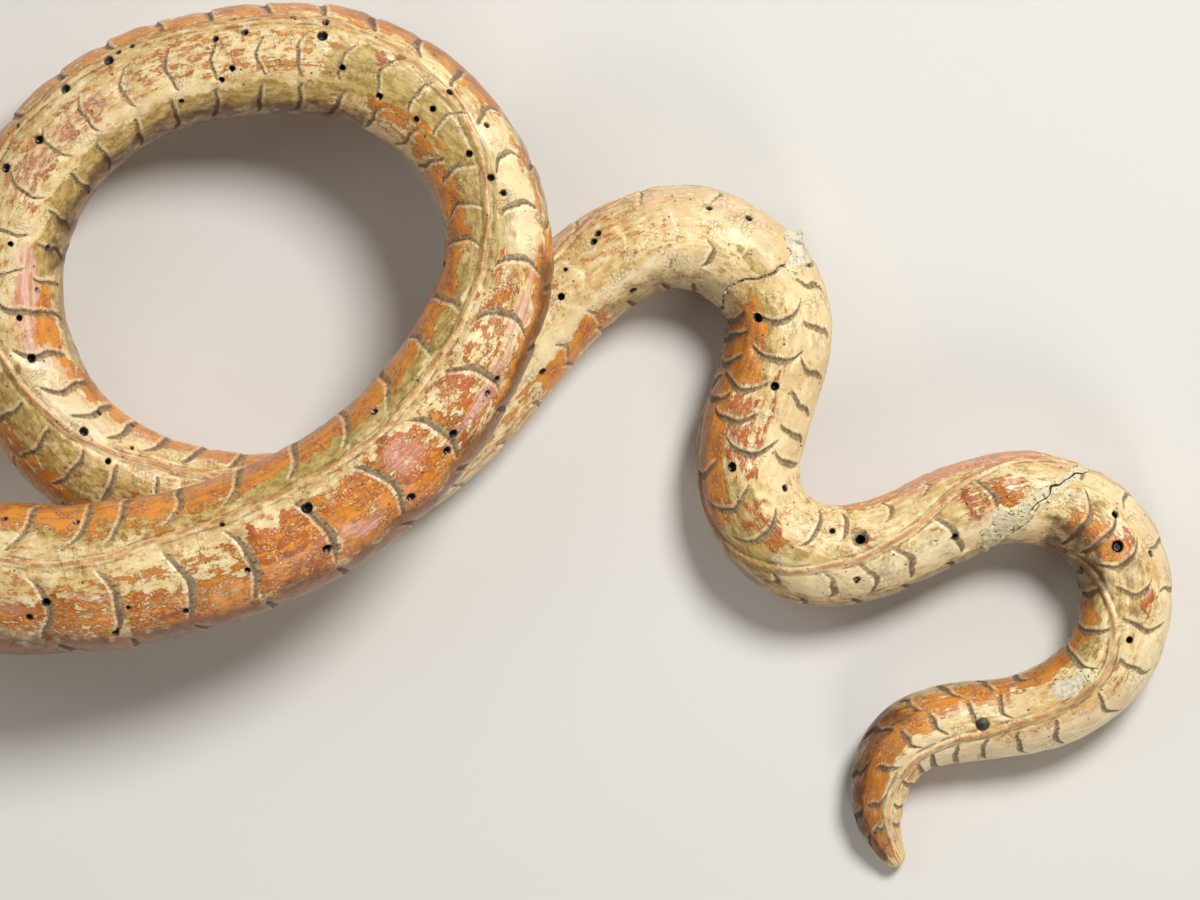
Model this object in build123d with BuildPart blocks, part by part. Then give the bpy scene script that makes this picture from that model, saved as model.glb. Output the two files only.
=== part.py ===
"""Carved, gilded wooden snake: one open coil, a waving tail and a head resting on the table.

Millimetres, Z up. The body is nine carved lengths of wood glued end to end over dowels,
with three later repairs filled where the tail joints opened.
"""
import os
from math import cos, pi, radians, sin, sqrt

from build123d import *

os.makedirs("parts", exist_ok=True)

# Where the layout point (0, 0) of the stations lies in the part's own frame.
LAYOUT_X = 49.0
LAYOUT_Y = -3.0

# Stations along the body from the head joint to the tail tip:
# x, y and height of the body's middle, body diameter, angle of the side ridge in degrees.
# The ridge angle is measured round the body from its left side, climbing over the top.
STATIONS = [
    (-202.5, 12.0, 13.6, 26.5, -10.0),
    (-198.0, -0.5, 14.2, 27.5, -5.0),
    (-174.0, -22.5, 22.5, 31.5, 28.0),
    (-157.5, -27.5, 29.5, 34.5, 55.0),
    (-123.5, -30.0, 38.8, 34.5, 78.0),
    (-106.0, -28.0, 39.5, 34.0, 71.0),
    (-88.0, -23.5, 39.5, 33.5, 65.0),
    (-53.0, -5.0, 39.5, 31.5, 67.0),
    (-29.0, 26.1, 38.3, 27.5, 70.0),
    (-23.7, 43.5, 36.3, 25.5, 75.0),
    (-33.4, 73.4, 31.3, 24.5, 107.0),
    (-63.5, 91.0, 27.0, 26.0, 131.0),
    (-82.0, 91.5, 25.0, 26.0, 133.0),
    (-116.5, 80.5, 21.0, 26.0, 135.0),
    (-137.0, 54.5, 17.2, 27.0, 133.0),
    (-137.0, 22.0, 14.2, 26.5, 103.0),
    (-127.5, 4.5, 13.0, 27.0, 81.0),
    (-66.0, -12.0, 12.2, 25.5, 51.0),
    (-35.5, 5.0, 12.1, 24.5, 50.0),
    (-13.5, 30.5, 12.1, 24.5, 50.0),
    (-3.5, 40.5, 12.2, 24.5, 46.0),
    (21.0, 50.0, 13.4, 24.3, -8.0),
    (33.0, 45.5, 13.4, 24.0, -14.0),
    (41.4, 35.0, 12.9, 24.3, -14.0),
    (35.1, -3.8, 12.1, 24.3, -24.0),
    (38.3, -16.0, 11.8, 23.8, -45.0),
    (47.3, -23.5, 11.5, 24.1, -84.0),
    (73.0, -20.0, 11.2, 22.5, -114.0),
    (97.5, -11.0, 11.5, 21.5, -164.0),
    (110.5, -13.6, 11.5, 20.7, -192.0),
    (120.4, -22.0, 11.3, 21.4, -217.0),
    (120.5, -48.4, 10.7, 21.5, -268.0),
    (96.5, -62.8, 9.2, 19.0, -284.0),
    (71.9, -68.9, 8.2, 17.4, -303.0),
    (66.0, -88.0, 5.0, 10.3, -294.0),
    (69.4, -95.8, 3.0, 5.8, -294.0),
]

# Distances of the joints along the body, from the head joint.
NECK_JOINT = 78.0
FRONT_JOINT = 220.0
TOP_JOINT = 372.0
SIDE_JOINT = 488.0
HUMP_JOINT = 635.5
CREST_JOINT = 763.0
TAIL_JOINT = 821.0

RING_STEP = 7.0  # longest spacing of the rings a length of wood is lofted through
RIDGE_HALF_WIDTH = 0.85  # raised cord along each side of the body
RIDGE_HEIGHT = 0.55
RIDGE_SPREAD = 200.0  # degrees from one ridge over the back to the other
TIP_FULLNESS = 0.1  # the ball that rounds the tip is this much fuller than the last section

SEAT_HEIGHT = 24.2  # planed lap where the front strand lies on the rear one
SEAT_FROM_X = -98.0
SEAT_TO_X = -32.0
SEAT_MIDDLE_Y = -5.0
SEAT_DEPTH = 3.0  # wood a planing cut can take off
SEAT_REACH_Y = 52.0
BIG = 600.0  # the ground cut and the through bore reach past everything
PLATE = 70.0  # side of the plates that cut the joints, wider than the body

CREST_SKEW = -42.0  # the crest joint is a scarf, turned about the vertical
HUMP_GAP = 1.0  # thickness of the filler left in each opened joint
CREST_GAP = 3.2
TAIL_GAP = 0.8

BORE_RADIUS = 1.3  # fixing bore through the wave of the tail
BORE_SINK_RADIUS = 2.1
BORE_SINK_FLOOR = 21.4
BORE_X = 61.1
BORE_Y = -20.7

PIN_RADIUS = 1.55  # iron pin let into the tail
PIN_LENGTH = 13.0
PIN_X = 90.0
PIN_Y = -64.4
PIN_TOP = 18.2

PEG_RADIUS = 3.0  # wooden peg through the lap of the coil
PEG_BOTTOM = 8.0
PEG_TOP = 42.0
PEG_X = -52.0
PEG_Y = -5.0

DOWEL_GLUE_SPACE = 1.0  # bore left empty beyond each dowel end
HEAD_DOWEL = (4.0, 28.0)  # radius and length
NECK_DOWEL = (5.0, 36.0)
COIL_DOWEL = (4.0, 30.0)
HUMP_DOWEL = (3.0, 22.0)
CREST_DOWEL = (2.5, 22.0)
TAIL_DOWEL = (2.5, 18.0)

SCARF_REACH = 18.0  # extra length lofted past the slanted crest joint before it is cut
FILL_REACH = 10.0

# The hump's filler: a block let into the outer side, with a lump left standing proud.
# Places are across the body, up, and along it, from the middle of the joint.
HUMP_BLOCK_X = 9.5
HUMP_BLOCK_Y = 6.0
HUMP_BLOCK_Z = -1.5
HUMP_BLOCK_SIZE = (10.0, 13.0, 8.0)
HUMP_LUMP_AT = (11.0, 3.0, -1.0)
HUMP_LUMP_RADIUS = 3.0

TAIL_PATCH_X = 109.3
TAIL_PATCH_Y = -56.4
TAIL_PATCH_RADIUS = 4.6
TAIL_PATCH_BOTTOM = 16.8

# Head sections: distance from the neck, half width, half height, rise of the middle.
HEAD_SLICES = [
    (0.0, 13.25, 13.25, 0.0),
    (9.0, 14.2, 13.0, -0.1),
    (18.0, 17.0, 12.8, -0.3),
    (27.0, 19.6, 12.4, -0.8),
    (36.0, 20.0, 11.8, -1.4),
    (46.0, 17.6, 10.6, -2.4),
    (55.0, 14.0, 9.0, -3.7),
    (63.0, 11.0, 7.4, -5.0),
    (68.5, 8.0, 5.6, -6.1),
    (71.5, 5.0, 3.8, -6.8),
    (73.0, 2.2, 1.7, -7.2),
]
EYE_X = 12.9
EYE_Y = 3.2
EYE_REACH = 43.0
EYE_RADIUS = 3.7
NOSTRIL_X = 5.8
NOSTRIL_Y = -1.3
NOSTRIL_REACH = 67.0
NOSTRIL_RADIUS = 1.1
MOUTH_FROM = 20.0
MOUTH_RISE = -2.4
MOUTH_TILT = 7.0
MOUTH_LENGTH = 60.0
MOUTH_WIDTH = 0.9
MOUTH_DEPTH = 1.2


# --- The line the body follows -------------------------------------------------------------


def bend_of(knots, values):
    """Second derivatives of the natural cubic spline through the values."""
    sweep = [0.0] * len(knots)
    bend = [0.0] * len(knots)
    for i in range(1, len(knots) - 1):
        before = knots[i] - knots[i - 1]
        after = knots[i + 1] - knots[i]
        share = before / (before + after)
        pivot = share * sweep[i - 1] + 2
        sweep[i] = (share - 1) / pivot
        turn = (values[i + 1] - values[i]) / after - (values[i] - values[i - 1]) / before
        bend[i] = (6 * turn / (before + after) - share * bend[i - 1]) / pivot
    for i in range(len(knots) - 2, 0, -1):
        bend[i] += sweep[i] * bend[i + 1]
    return bend


KNOTS = [0.0]
for here, there in zip(STATIONS, STATIONS[1:]):
    KNOTS.append(KNOTS[-1] + sqrt(sum((b - a) ** 2 for a, b in zip(here[:3], there[:3]))))
TIP = KNOTS[-1]
COLUMNS = list(zip(*STATIONS))
BENDS = [bend_of(KNOTS, column) for column in COLUMNS]


def read(column, distance):
    """One column of the stations at a distance along the body."""
    i = 0
    while i < len(KNOTS) - 2 and KNOTS[i + 1] < distance:
        i += 1
    span = KNOTS[i + 1] - KNOTS[i]
    b = (distance - KNOTS[i]) / span
    a = 1 - b
    value = a * COLUMNS[column][i] + b * COLUMNS[column][i + 1]
    curve = (a**3 - a) * BENDS[column][i] + (b**3 - b) * BENDS[column][i + 1]
    return value + curve * span**2 / 6


def middle(distance):
    """Middle of the body at a distance along it."""
    return Vector(read(0, distance) + LAYOUT_X, read(1, distance) + LAYOUT_Y, read(2, distance))


def along(distance):
    """Unit direction of the body toward the tail."""
    return (middle(distance + 0.05) - middle(distance - 0.05)).normalized()


def across(distance):
    """Square cutting plane: x to the left side of the body, y over its back, z toward the tail."""
    forward = along(distance)
    left = Vector(0, 0, 1).cross(forward).normalized()
    return Plane(middle(distance), x_dir=left, z_dir=forward)


# --- Shapes shared by the lengths ----------------------------------------------------------


def ring(distance):
    """Body section at a distance: a circle with a raised cord on each side."""
    plane = across(distance)
    radius = read(3, distance) / 2
    half = RIDGE_HALF_WIDTH / radius
    first = radians(read(4, distance))
    second = first + radians(RIDGE_SPREAD)

    def rim(angle, swell=0.0):
        reach = radius + swell
        return plane.from_local_coords((reach * cos(angle), reach * sin(angle)))

    arcs = []
    for ridge, following in ((first, second), (second, first + 2 * pi)):
        cord_end = ridge + half
        next_start = following - half
        arcs.append(ThreePointArc(rim(ridge - half), rim(ridge, RIDGE_HEIGHT), rim(cord_end)))
        arcs.append(ThreePointArc(rim(cord_end), rim((cord_end + next_start) / 2), rim(next_start)))
    return Face(Wire(arcs))


def rings(start, end):
    """Evenly spaced sections from one distance to another."""
    count = max(3, round((end - start) / RING_STEP) + 1)
    return [ring(start + (end - start) * i / (count - 1)) for i in range(count)]


def slab(plane, thickness):
    """Thin square plate lying on both sides of a joint plane."""
    return extrude(plane * Rectangle(PLATE, PLATE), amount=thickness / 2, both=True)


def dowel(distance, radius, length):
    """Dowel centred on a joint, along the body."""
    return across(distance) * Cylinder(radius, length)


def dowel_bore(distance, radius, length):
    return dowel(distance, radius, length + 2 * DOWEL_GLUE_SPACE)


# --- Cutting tools in fixed places ---------------------------------------------------------

ground = Pos(0, 0, -BIG / 2) * Box(BIG, BIG, BIG)
seat_length = SEAT_TO_X - SEAT_FROM_X
seat_x = (SEAT_FROM_X + SEAT_TO_X) / 2 + LAYOUT_X
seat_y = SEAT_MIDDLE_Y + LAYOUT_Y
seat_below = Pos(seat_x, seat_y, SEAT_HEIGHT - SEAT_DEPTH / 2) * Box(
    seat_length, SEAT_REACH_Y, SEAT_DEPTH
)
seat_above = Pos(seat_x, seat_y, SEAT_HEIGHT + SEAT_DEPTH / 2) * Box(
    seat_length, SEAT_REACH_Y, SEAT_DEPTH
)

peg = Pos(PEG_X + LAYOUT_X, PEG_Y + LAYOUT_Y, (PEG_TOP + PEG_BOTTOM) / 2) * Cylinder(
    PEG_RADIUS, PEG_TOP - PEG_BOTTOM
)
pin = Pos(PIN_X + LAYOUT_X, PIN_Y + LAYOUT_Y, PIN_TOP - PIN_LENGTH / 2) * Cylinder(
    PIN_RADIUS, PIN_LENGTH
)
pin_bore = pin + Pos(0, 0, PIN_LENGTH / 2) * pin  # open above, so no skin is left over the pin
bore_at = Pos(BORE_X + LAYOUT_X, BORE_Y + LAYOUT_Y, 0)
fixing_bore = bore_at * Cylinder(BORE_RADIUS, BIG)
fixing_bore += bore_at * Pos(0, 0, BORE_SINK_FLOOR + BIG / 2) * Cylinder(BORE_SINK_RADIUS, BIG)

# --- Opened joints and their fillers -------------------------------------------------------

hump_plane = across(HUMP_JOINT)
hump_block = hump_plane * Pos(HUMP_BLOCK_X, HUMP_BLOCK_Y, HUMP_BLOCK_Z) * Box(*HUMP_BLOCK_SIZE)
hump_lump = hump_plane * Pos(*HUMP_LUMP_AT) * Sphere(HUMP_LUMP_RADIUS)
hump_room = slab(hump_plane, HUMP_GAP) + hump_block

square_cut = across(CREST_JOINT)
crest_plane = Plane(
    square_cut.origin,
    x_dir=square_cut.x_dir.rotate(Axis.Z, CREST_SKEW),
    z_dir=square_cut.z_dir.rotate(Axis.Z, CREST_SKEW),
)
crest_room = slab(crest_plane, CREST_GAP)
past_crest = extrude(crest_plane * Rectangle(PLATE, PLATE), amount=2 * SCARF_REACH)
before_crest = extrude(crest_plane * Rectangle(PLATE, PLATE), amount=-2 * SCARF_REACH)

patch_at = Pos(TAIL_PATCH_X + LAYOUT_X, TAIL_PATCH_Y + LAYOUT_Y, TAIL_PATCH_BOTTOM)
tail_patch = patch_at * Pos(0, 0, PLATE / 2) * Cylinder(TAIL_PATCH_RADIUS, PLATE)
tail_room = slab(across(TAIL_JOINT), TAIL_GAP) + tail_patch

head_pin = dowel(0, *HEAD_DOWEL)
neck_pin = dowel(NECK_JOINT, *NECK_DOWEL)
coil_pins = [dowel(joint, *COIL_DOWEL) for joint in (FRONT_JOINT, TOP_JOINT, SIDE_JOINT)]
hump_pin = dowel(HUMP_JOINT, *HUMP_DOWEL)
crest_pin = dowel(CREST_JOINT, *CREST_DOWEL)
tail_pin = dowel(TAIL_JOINT, *TAIL_DOWEL)
head_bore = dowel_bore(0, *HEAD_DOWEL)
neck_bore = dowel_bore(NECK_JOINT, *NECK_DOWEL)
front_bore = dowel_bore(FRONT_JOINT, *COIL_DOWEL)
top_bore = dowel_bore(TOP_JOINT, *COIL_DOWEL)
side_bore = dowel_bore(SIDE_JOINT, *COIL_DOWEL)
hump_bore = dowel_bore(HUMP_JOINT, *HUMP_DOWEL)
crest_bore = dowel_bore(CREST_JOINT, *CREST_DOWEL)
tail_bore = dowel_bore(TAIL_JOINT, *TAIL_DOWEL)

# --- The head ------------------------------------------------------------------------------

toward_snout = along(0) * -1
head_plane = Plane(
    middle(0), x_dir=Vector(0, 0, 1).cross(toward_snout).normalized(), z_dir=toward_snout
)


def head_slices(shrink):
    """Oval sections of the head, each smaller all round by the shrink."""
    slices = []
    for reach, half_width, half_height, rise in HEAD_SLICES:
        oval = Ellipse(half_width - shrink, half_height - shrink)
        slices.append(head_plane * Pos(0, rise, reach) * oval)
    return slices


mouth_plane = head_plane * Pos(0, MOUTH_RISE, MOUTH_FROM) * Rot(MOUTH_TILT, 0, 0)
mouth_slab = mouth_plane * Pos(0, 0, MOUTH_LENGTH / 2) * Box(PLATE, MOUTH_WIDTH, MOUTH_LENGTH)
mouth_groove = mouth_slab - loft(head_slices(MOUTH_DEPTH))
head_skin = head_slices(0)

with BuildPart() as head_section:
    loft(head_skin)
    for side in (-1, 1):
        with Locations(head_plane * Pos(side * EYE_X, EYE_Y, EYE_REACH)):
            Sphere(EYE_RADIUS)
        with Locations(head_plane * Pos(side * NOSTRIL_X, NOSTRIL_Y, NOSTRIL_REACH)):
            Sphere(NOSTRIL_RADIUS, mode=Mode.SUBTRACT)
    add(mouth_groove, mode=Mode.SUBTRACT)
    add(head_bore, mode=Mode.SUBTRACT)
    add(ground, mode=Mode.SUBTRACT)
head_section.part.label = "head_section"
export_step(head_section.part, "parts/head_section.step")

# --- The carved lengths --------------------------------------------------------------------

with BuildPart() as neck_section:
    loft(rings(0, NECK_JOINT))
    add(ground, mode=Mode.SUBTRACT)
    add(head_bore, mode=Mode.SUBTRACT)
    add(neck_bore, mode=Mode.SUBTRACT)
neck_section.part.label = "neck_section"
export_step(neck_section.part, "parts/neck_section.step")

with BuildPart() as coil_front_section:
    loft(rings(NECK_JOINT, FRONT_JOINT))
    add(seat_below, mode=Mode.SUBTRACT)
    add(neck_bore, mode=Mode.SUBTRACT)
    add(front_bore, mode=Mode.SUBTRACT)
    add(peg, mode=Mode.SUBTRACT)
coil_front_section.part.label = "coil_front_section"
export_step(coil_front_section.part, "parts/coil_front_section.step")

with BuildPart() as coil_top_section:
    loft(rings(FRONT_JOINT, TOP_JOINT))
    add(front_bore, mode=Mode.SUBTRACT)
    add(top_bore, mode=Mode.SUBTRACT)
coil_top_section.part.label = "coil_top_section"
export_step(coil_top_section.part, "parts/coil_top_section.step")

with BuildPart() as coil_side_section:
    loft(rings(TOP_JOINT, SIDE_JOINT))
    add(seat_above, mode=Mode.SUBTRACT)
    add(ground, mode=Mode.SUBTRACT)
    add(top_bore, mode=Mode.SUBTRACT)
    add(side_bore, mode=Mode.SUBTRACT)
coil_side_section.part.label = "coil_side_section"
export_step(coil_side_section.part, "parts/coil_side_section.step")

with BuildPart() as coil_rear_section:
    loft(rings(SIDE_JOINT, HUMP_JOINT))
    add(seat_above, mode=Mode.SUBTRACT)
    add(ground, mode=Mode.SUBTRACT)
    add(side_bore, mode=Mode.SUBTRACT)
    add(peg, mode=Mode.SUBTRACT)
    add(hump_room, mode=Mode.SUBTRACT)
    add(hump_bore, mode=Mode.SUBTRACT)
coil_rear_section.part.label = "coil_rear_section"
export_step(coil_rear_section.part, "parts/coil_rear_section.step")

with BuildPart() as tail_wave_section:
    loft(rings(HUMP_JOINT, CREST_JOINT + SCARF_REACH))
    add(ground, mode=Mode.SUBTRACT)
    add(hump_room, mode=Mode.SUBTRACT)
    add(hump_bore, mode=Mode.SUBTRACT)
    add(past_crest, mode=Mode.SUBTRACT)
    add(crest_room, mode=Mode.SUBTRACT)
    add(crest_bore, mode=Mode.SUBTRACT)
    add(fixing_bore, mode=Mode.SUBTRACT)
tail_wave_section.part.label = "tail_wave_section"
export_step(tail_wave_section.part, "parts/tail_wave_section.step")

with BuildPart() as tail_bend_section:
    loft(rings(CREST_JOINT - SCARF_REACH, TAIL_JOINT))
    add(ground, mode=Mode.SUBTRACT)
    add(before_crest, mode=Mode.SUBTRACT)
    add(crest_room, mode=Mode.SUBTRACT)
    add(crest_bore, mode=Mode.SUBTRACT)
    add(tail_room, mode=Mode.SUBTRACT)
    add(tail_bore, mode=Mode.SUBTRACT)
tail_bend_section.part.label = "tail_bend_section"
export_step(tail_bend_section.part, "parts/tail_bend_section.step")

with BuildPart() as tail_end_section:
    loft(rings(TAIL_JOINT, TIP))
    with Locations(middle(TIP)):
        Sphere(read(3, TIP) / 2 + TIP_FULLNESS)
    add(ground, mode=Mode.SUBTRACT)
    add(tail_room, mode=Mode.SUBTRACT)
    add(tail_bore, mode=Mode.SUBTRACT)
    add(pin_bore, mode=Mode.SUBTRACT)
tail_end_section.part.label = "tail_end_section"
export_step(tail_end_section.part, "parts/tail_end_section.step")

# --- Dowels and pegs -----------------------------------------------------------------------

with BuildPart() as head_dowel:
    add(head_pin)
head_dowel.part.label = "head_dowel"
export_step(head_dowel.part, "parts/head_dowel.step")

with BuildPart() as neck_dowel:
    add(neck_pin)
neck_dowel.part.label = "neck_dowel"
export_step(neck_dowel.part, "parts/neck_dowel.step")

with BuildPart() as coil_dowels:
    add(coil_pins)
coil_dowels.part.label = "coil_dowels"
export_step(coil_dowels.part, "parts/coil_dowels.step")

with BuildPart() as hump_dowel:
    add(hump_pin)
hump_dowel.part.label = "hump_dowel"
export_step(hump_dowel.part, "parts/hump_dowel.step")

with BuildPart() as crest_dowel:
    add(crest_pin)
crest_dowel.part.label = "crest_dowel"
export_step(crest_dowel.part, "parts/crest_dowel.step")

with BuildPart() as tail_dowel:
    add(tail_pin)
tail_dowel.part.label = "tail_dowel"
export_step(tail_dowel.part, "parts/tail_dowel.step")

with BuildPart() as crossing_peg:
    add(peg)
crossing_peg.part.label = "crossing_peg"
export_step(crossing_peg.part, "parts/crossing_peg.step")

with BuildPart() as iron_pin:
    add(pin)
iron_pin.part.label = "iron_pin"
export_step(iron_pin.part, "parts/iron_pin.step")

# --- Fillers in the opened joints ----------------------------------------------------------

with BuildPart() as hump_fill:
    loft(rings(HUMP_JOINT - FILL_REACH, HUMP_JOINT + FILL_REACH))
    add(hump_room, mode=Mode.INTERSECT)
    add(hump_lump)
    add(hump_bore, mode=Mode.SUBTRACT)
hump_fill.part.label = "hump_fill"
export_step(hump_fill.part, "parts/hump_fill.step")

with BuildPart() as crest_fill:
    loft(rings(CREST_JOINT - SCARF_REACH, CREST_JOINT + SCARF_REACH))
    add(crest_room, mode=Mode.INTERSECT)
    add(crest_bore, mode=Mode.SUBTRACT)
crest_fill.part.label = "crest_fill"
export_step(crest_fill.part, "parts/crest_fill.step")

with BuildPart() as tail_fill:
    loft(rings(TAIL_JOINT - FILL_REACH, TAIL_JOINT + FILL_REACH))
    add(tail_room, mode=Mode.INTERSECT)
    add(ground, mode=Mode.SUBTRACT)
    add(tail_bore, mode=Mode.SUBTRACT)
tail_fill.part.label = "tail_fill"
export_step(tail_fill.part, "parts/tail_fill.step")
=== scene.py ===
import bpy
import numpy as np
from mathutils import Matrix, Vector


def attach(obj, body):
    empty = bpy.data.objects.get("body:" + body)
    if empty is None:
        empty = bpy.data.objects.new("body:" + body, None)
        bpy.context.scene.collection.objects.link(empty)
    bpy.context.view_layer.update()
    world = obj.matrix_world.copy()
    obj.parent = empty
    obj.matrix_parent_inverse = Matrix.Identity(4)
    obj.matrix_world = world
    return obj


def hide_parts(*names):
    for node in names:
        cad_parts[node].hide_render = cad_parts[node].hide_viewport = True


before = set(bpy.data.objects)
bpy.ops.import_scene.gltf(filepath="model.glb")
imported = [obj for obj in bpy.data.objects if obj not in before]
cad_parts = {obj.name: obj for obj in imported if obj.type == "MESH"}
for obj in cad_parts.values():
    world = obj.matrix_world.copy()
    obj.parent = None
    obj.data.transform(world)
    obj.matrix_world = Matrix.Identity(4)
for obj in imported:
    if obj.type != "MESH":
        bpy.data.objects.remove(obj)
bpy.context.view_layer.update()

MM = 0.001
STEP = 0.42  # spacing of the carved mesh along the body, mm
AROUND = 240  # points round the body
BODY_RADIUS = 13.0  # typical radius of the body, mm
rng = np.random.default_rng(11)

# --- The line the body follows (the same stations as the CAD) ------------------------------

LAYOUT = np.array([49.0, -3.0, 0.0])
STATIONS = np.array([
    (-202.5, 12.0, 13.6, 26.5, -10.0),
    (-198.0, -0.5, 14.2, 27.5, -5.0),
    (-174.0, -22.5, 22.5, 31.5, 28.0),
    (-157.5, -27.5, 29.5, 34.5, 55.0),
    (-123.5, -30.0, 38.8, 34.5, 78.0),
    (-106.0, -28.0, 39.5, 34.0, 71.0),
    (-88.0, -23.5, 39.5, 33.5, 65.0),
    (-53.0, -5.0, 39.5, 31.5, 67.0),
    (-29.0, 26.1, 38.3, 27.5, 70.0),
    (-23.7, 43.5, 36.3, 25.5, 75.0),
    (-33.4, 73.4, 31.3, 24.5, 107.0),
    (-63.5, 91.0, 27.0, 26.0, 131.0),
    (-82.0, 91.5, 25.0, 26.0, 133.0),
    (-116.5, 80.5, 21.0, 26.0, 135.0),
    (-137.0, 54.5, 17.2, 27.0, 133.0),
    (-137.0, 22.0, 14.2, 26.5, 103.0),
    (-127.5, 4.5, 13.0, 27.0, 81.0),
    (-66.0, -12.0, 12.2, 25.5, 51.0),
    (-35.5, 5.0, 12.1, 24.5, 50.0),
    (-13.5, 30.5, 12.1, 24.5, 50.0),
    (-3.5, 40.5, 12.2, 24.5, 46.0),
    (21.0, 50.0, 13.4, 24.3, -8.0),
    (33.0, 45.5, 13.4, 24.0, -14.0),
    (41.4, 35.0, 12.9, 24.3, -14.0),
    (35.1, -3.8, 12.1, 24.3, -24.0),
    (38.3, -16.0, 11.8, 23.8, -45.0),
    (47.3, -23.5, 11.5, 24.1, -84.0),
    (73.0, -20.0, 11.2, 22.5, -114.0),
    (97.5, -11.0, 11.5, 21.5, -164.0),
    (110.5, -13.6, 11.5, 20.7, -192.0),
    (120.4, -22.0, 11.3, 21.4, -217.0),
    (120.5, -48.4, 10.7, 21.5, -268.0),
    (96.5, -62.8, 9.2, 19.0, -284.0),
    (71.9, -68.9, 8.2, 17.4, -303.0),
    (66.0, -88.0, 5.0, 10.3, -294.0),
    (69.4, -95.8, 3.0, 5.8, -294.0),
])
RIDGE_SPREAD = 200.0
DRAWN = 1.0027  # the distances in the tables below are stretched by this along the body


def bend_of(knots, values):
    """Second derivatives of the natural cubic spline through the values."""
    sweep = [0.0] * len(knots)
    bend = [0.0] * len(knots)
    for i in range(1, len(knots) - 1):
        before = knots[i] - knots[i - 1]
        after = knots[i + 1] - knots[i]
        share = before / (before + after)
        pivot = share * sweep[i - 1] + 2
        sweep[i] = (share - 1) / pivot
        turn = (values[i + 1] - values[i]) / after - (values[i] - values[i - 1]) / before
        bend[i] = (6 * turn / (before + after) - share * bend[i - 1]) / pivot
    for i in range(len(knots) - 2, 0, -1):
        bend[i] += sweep[i] * bend[i + 1]
    return np.array(bend)


def spline(knots, values, bends, x):
    """Value at x of the natural cubic spline with those second derivatives."""
    i = np.clip(np.searchsorted(knots, x, side="right") - 1, 0, len(knots) - 2)
    span = knots[i + 1] - knots[i]
    b = (x - knots[i]) / span
    a = 1 - b
    value = a * values[i] + b * values[i + 1]
    return value + ((a**3 - a) * bends[i] + (b**3 - b) * bends[i + 1]) * span**2 / 6


LEAPS = np.linalg.norm(np.diff(STATIONS[:, :3], axis=0), axis=1)
KNOTS = np.concatenate([[0.0], np.cumsum(LEAPS)])
TIP = KNOTS[-1]
BENDS = [bend_of(KNOTS, STATIONS[:, column]) for column in range(5)]


def read(column, s):
    return spline(KNOTS, STATIONS[:, column], BENDS[column], s)


def middle(s):
    return np.stack([read(0, s), read(1, s), read(2, s)], -1) + LAYOUT


def axes(s):
    """Forward, left and over-the-back directions of the body."""
    forward = middle(s + 0.05) - middle(s - 0.05)
    forward /= np.linalg.norm(forward, axis=-1, keepdims=True)
    left = np.cross([0.0, 0.0, 1.0], forward)
    left /= np.linalg.norm(left, axis=-1, keepdims=True)
    return forward, left, np.cross(forward, left)


def skin(s, angle):
    """Point on the plain round body and its outward direction. Angles in degrees."""
    forward, left, over = axes(s)
    a = np.radians(angle)[..., None]
    out = left * np.cos(a) + over * np.sin(a)
    return middle(s) + out * (read(3, s) / 2)[..., None], out


def stretch_of(s, angle):
    """Distance over the skin for each unit of distance along the body's middle."""
    ahead, _ = skin(s + 0.5, angle)
    behind, _ = skin(s - 0.5, angle)
    return np.linalg.norm(ahead - behind, axis=-1)


def ridge(s, which="A"):
    return read(4, s) + (RIDGE_SPREAD if which == "B" else 0.0)


def turn(angle):
    """Angle brought into -180 to 180 degrees."""
    return (angle + 180.0) % 360.0 - 180.0


def smooth(x, low, high):
    t = np.clip((x - low) / (high - low), 0.0, 1.0)
    return t * t * (3 - 2 * t)


def bump(x, width):
    return np.exp(-((x / width) ** 2))


# --- Wandering unevenness of hand work -----------------------------------------------------

def waves(count, low, high):
    """Random waves over distance along and angle round the body."""
    lengths = np.exp(rng.uniform(np.log(low), np.log(high), count))
    found = []
    for length, way, phase in zip(lengths, rng.uniform(0, np.pi, count), rng.uniform(0, 6.28, count)):
        beat = 2 * np.pi / length
        found.append((beat * np.cos(way), int(round(BODY_RADIUS * beat * np.sin(way))), phase))
    return found


BROAD = waves(14, 16.0, 60.0)
FINE = waves(22, 4.0, 10.0)
BLOTCH = waves(10, 22.0, 50.0)
STAINS = waves(12, 12.0, 26.0)
CHIPS = waves(24, 1.6, 5.0)
PATCHY = waves(18, 7.0, 22.0)


def wander(s, angle, terms):
    a = np.radians(angle)
    total = np.zeros_like(s)
    for along, around, phase in terms:
        total += np.sin(along * s + around * a + phase)
    return total / np.sqrt(len(terms))


# --- Scale cuts ----------------------------------------------------------------------------
# A row of cuts: the lower and upper end of each cut in degrees, or as (cord, degrees from it), how
# far each end lies toward the tail from the cut's middle, width and depth of the cut, and the
# distances along the body of the cuts' middles. All lengths in mm.

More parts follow.
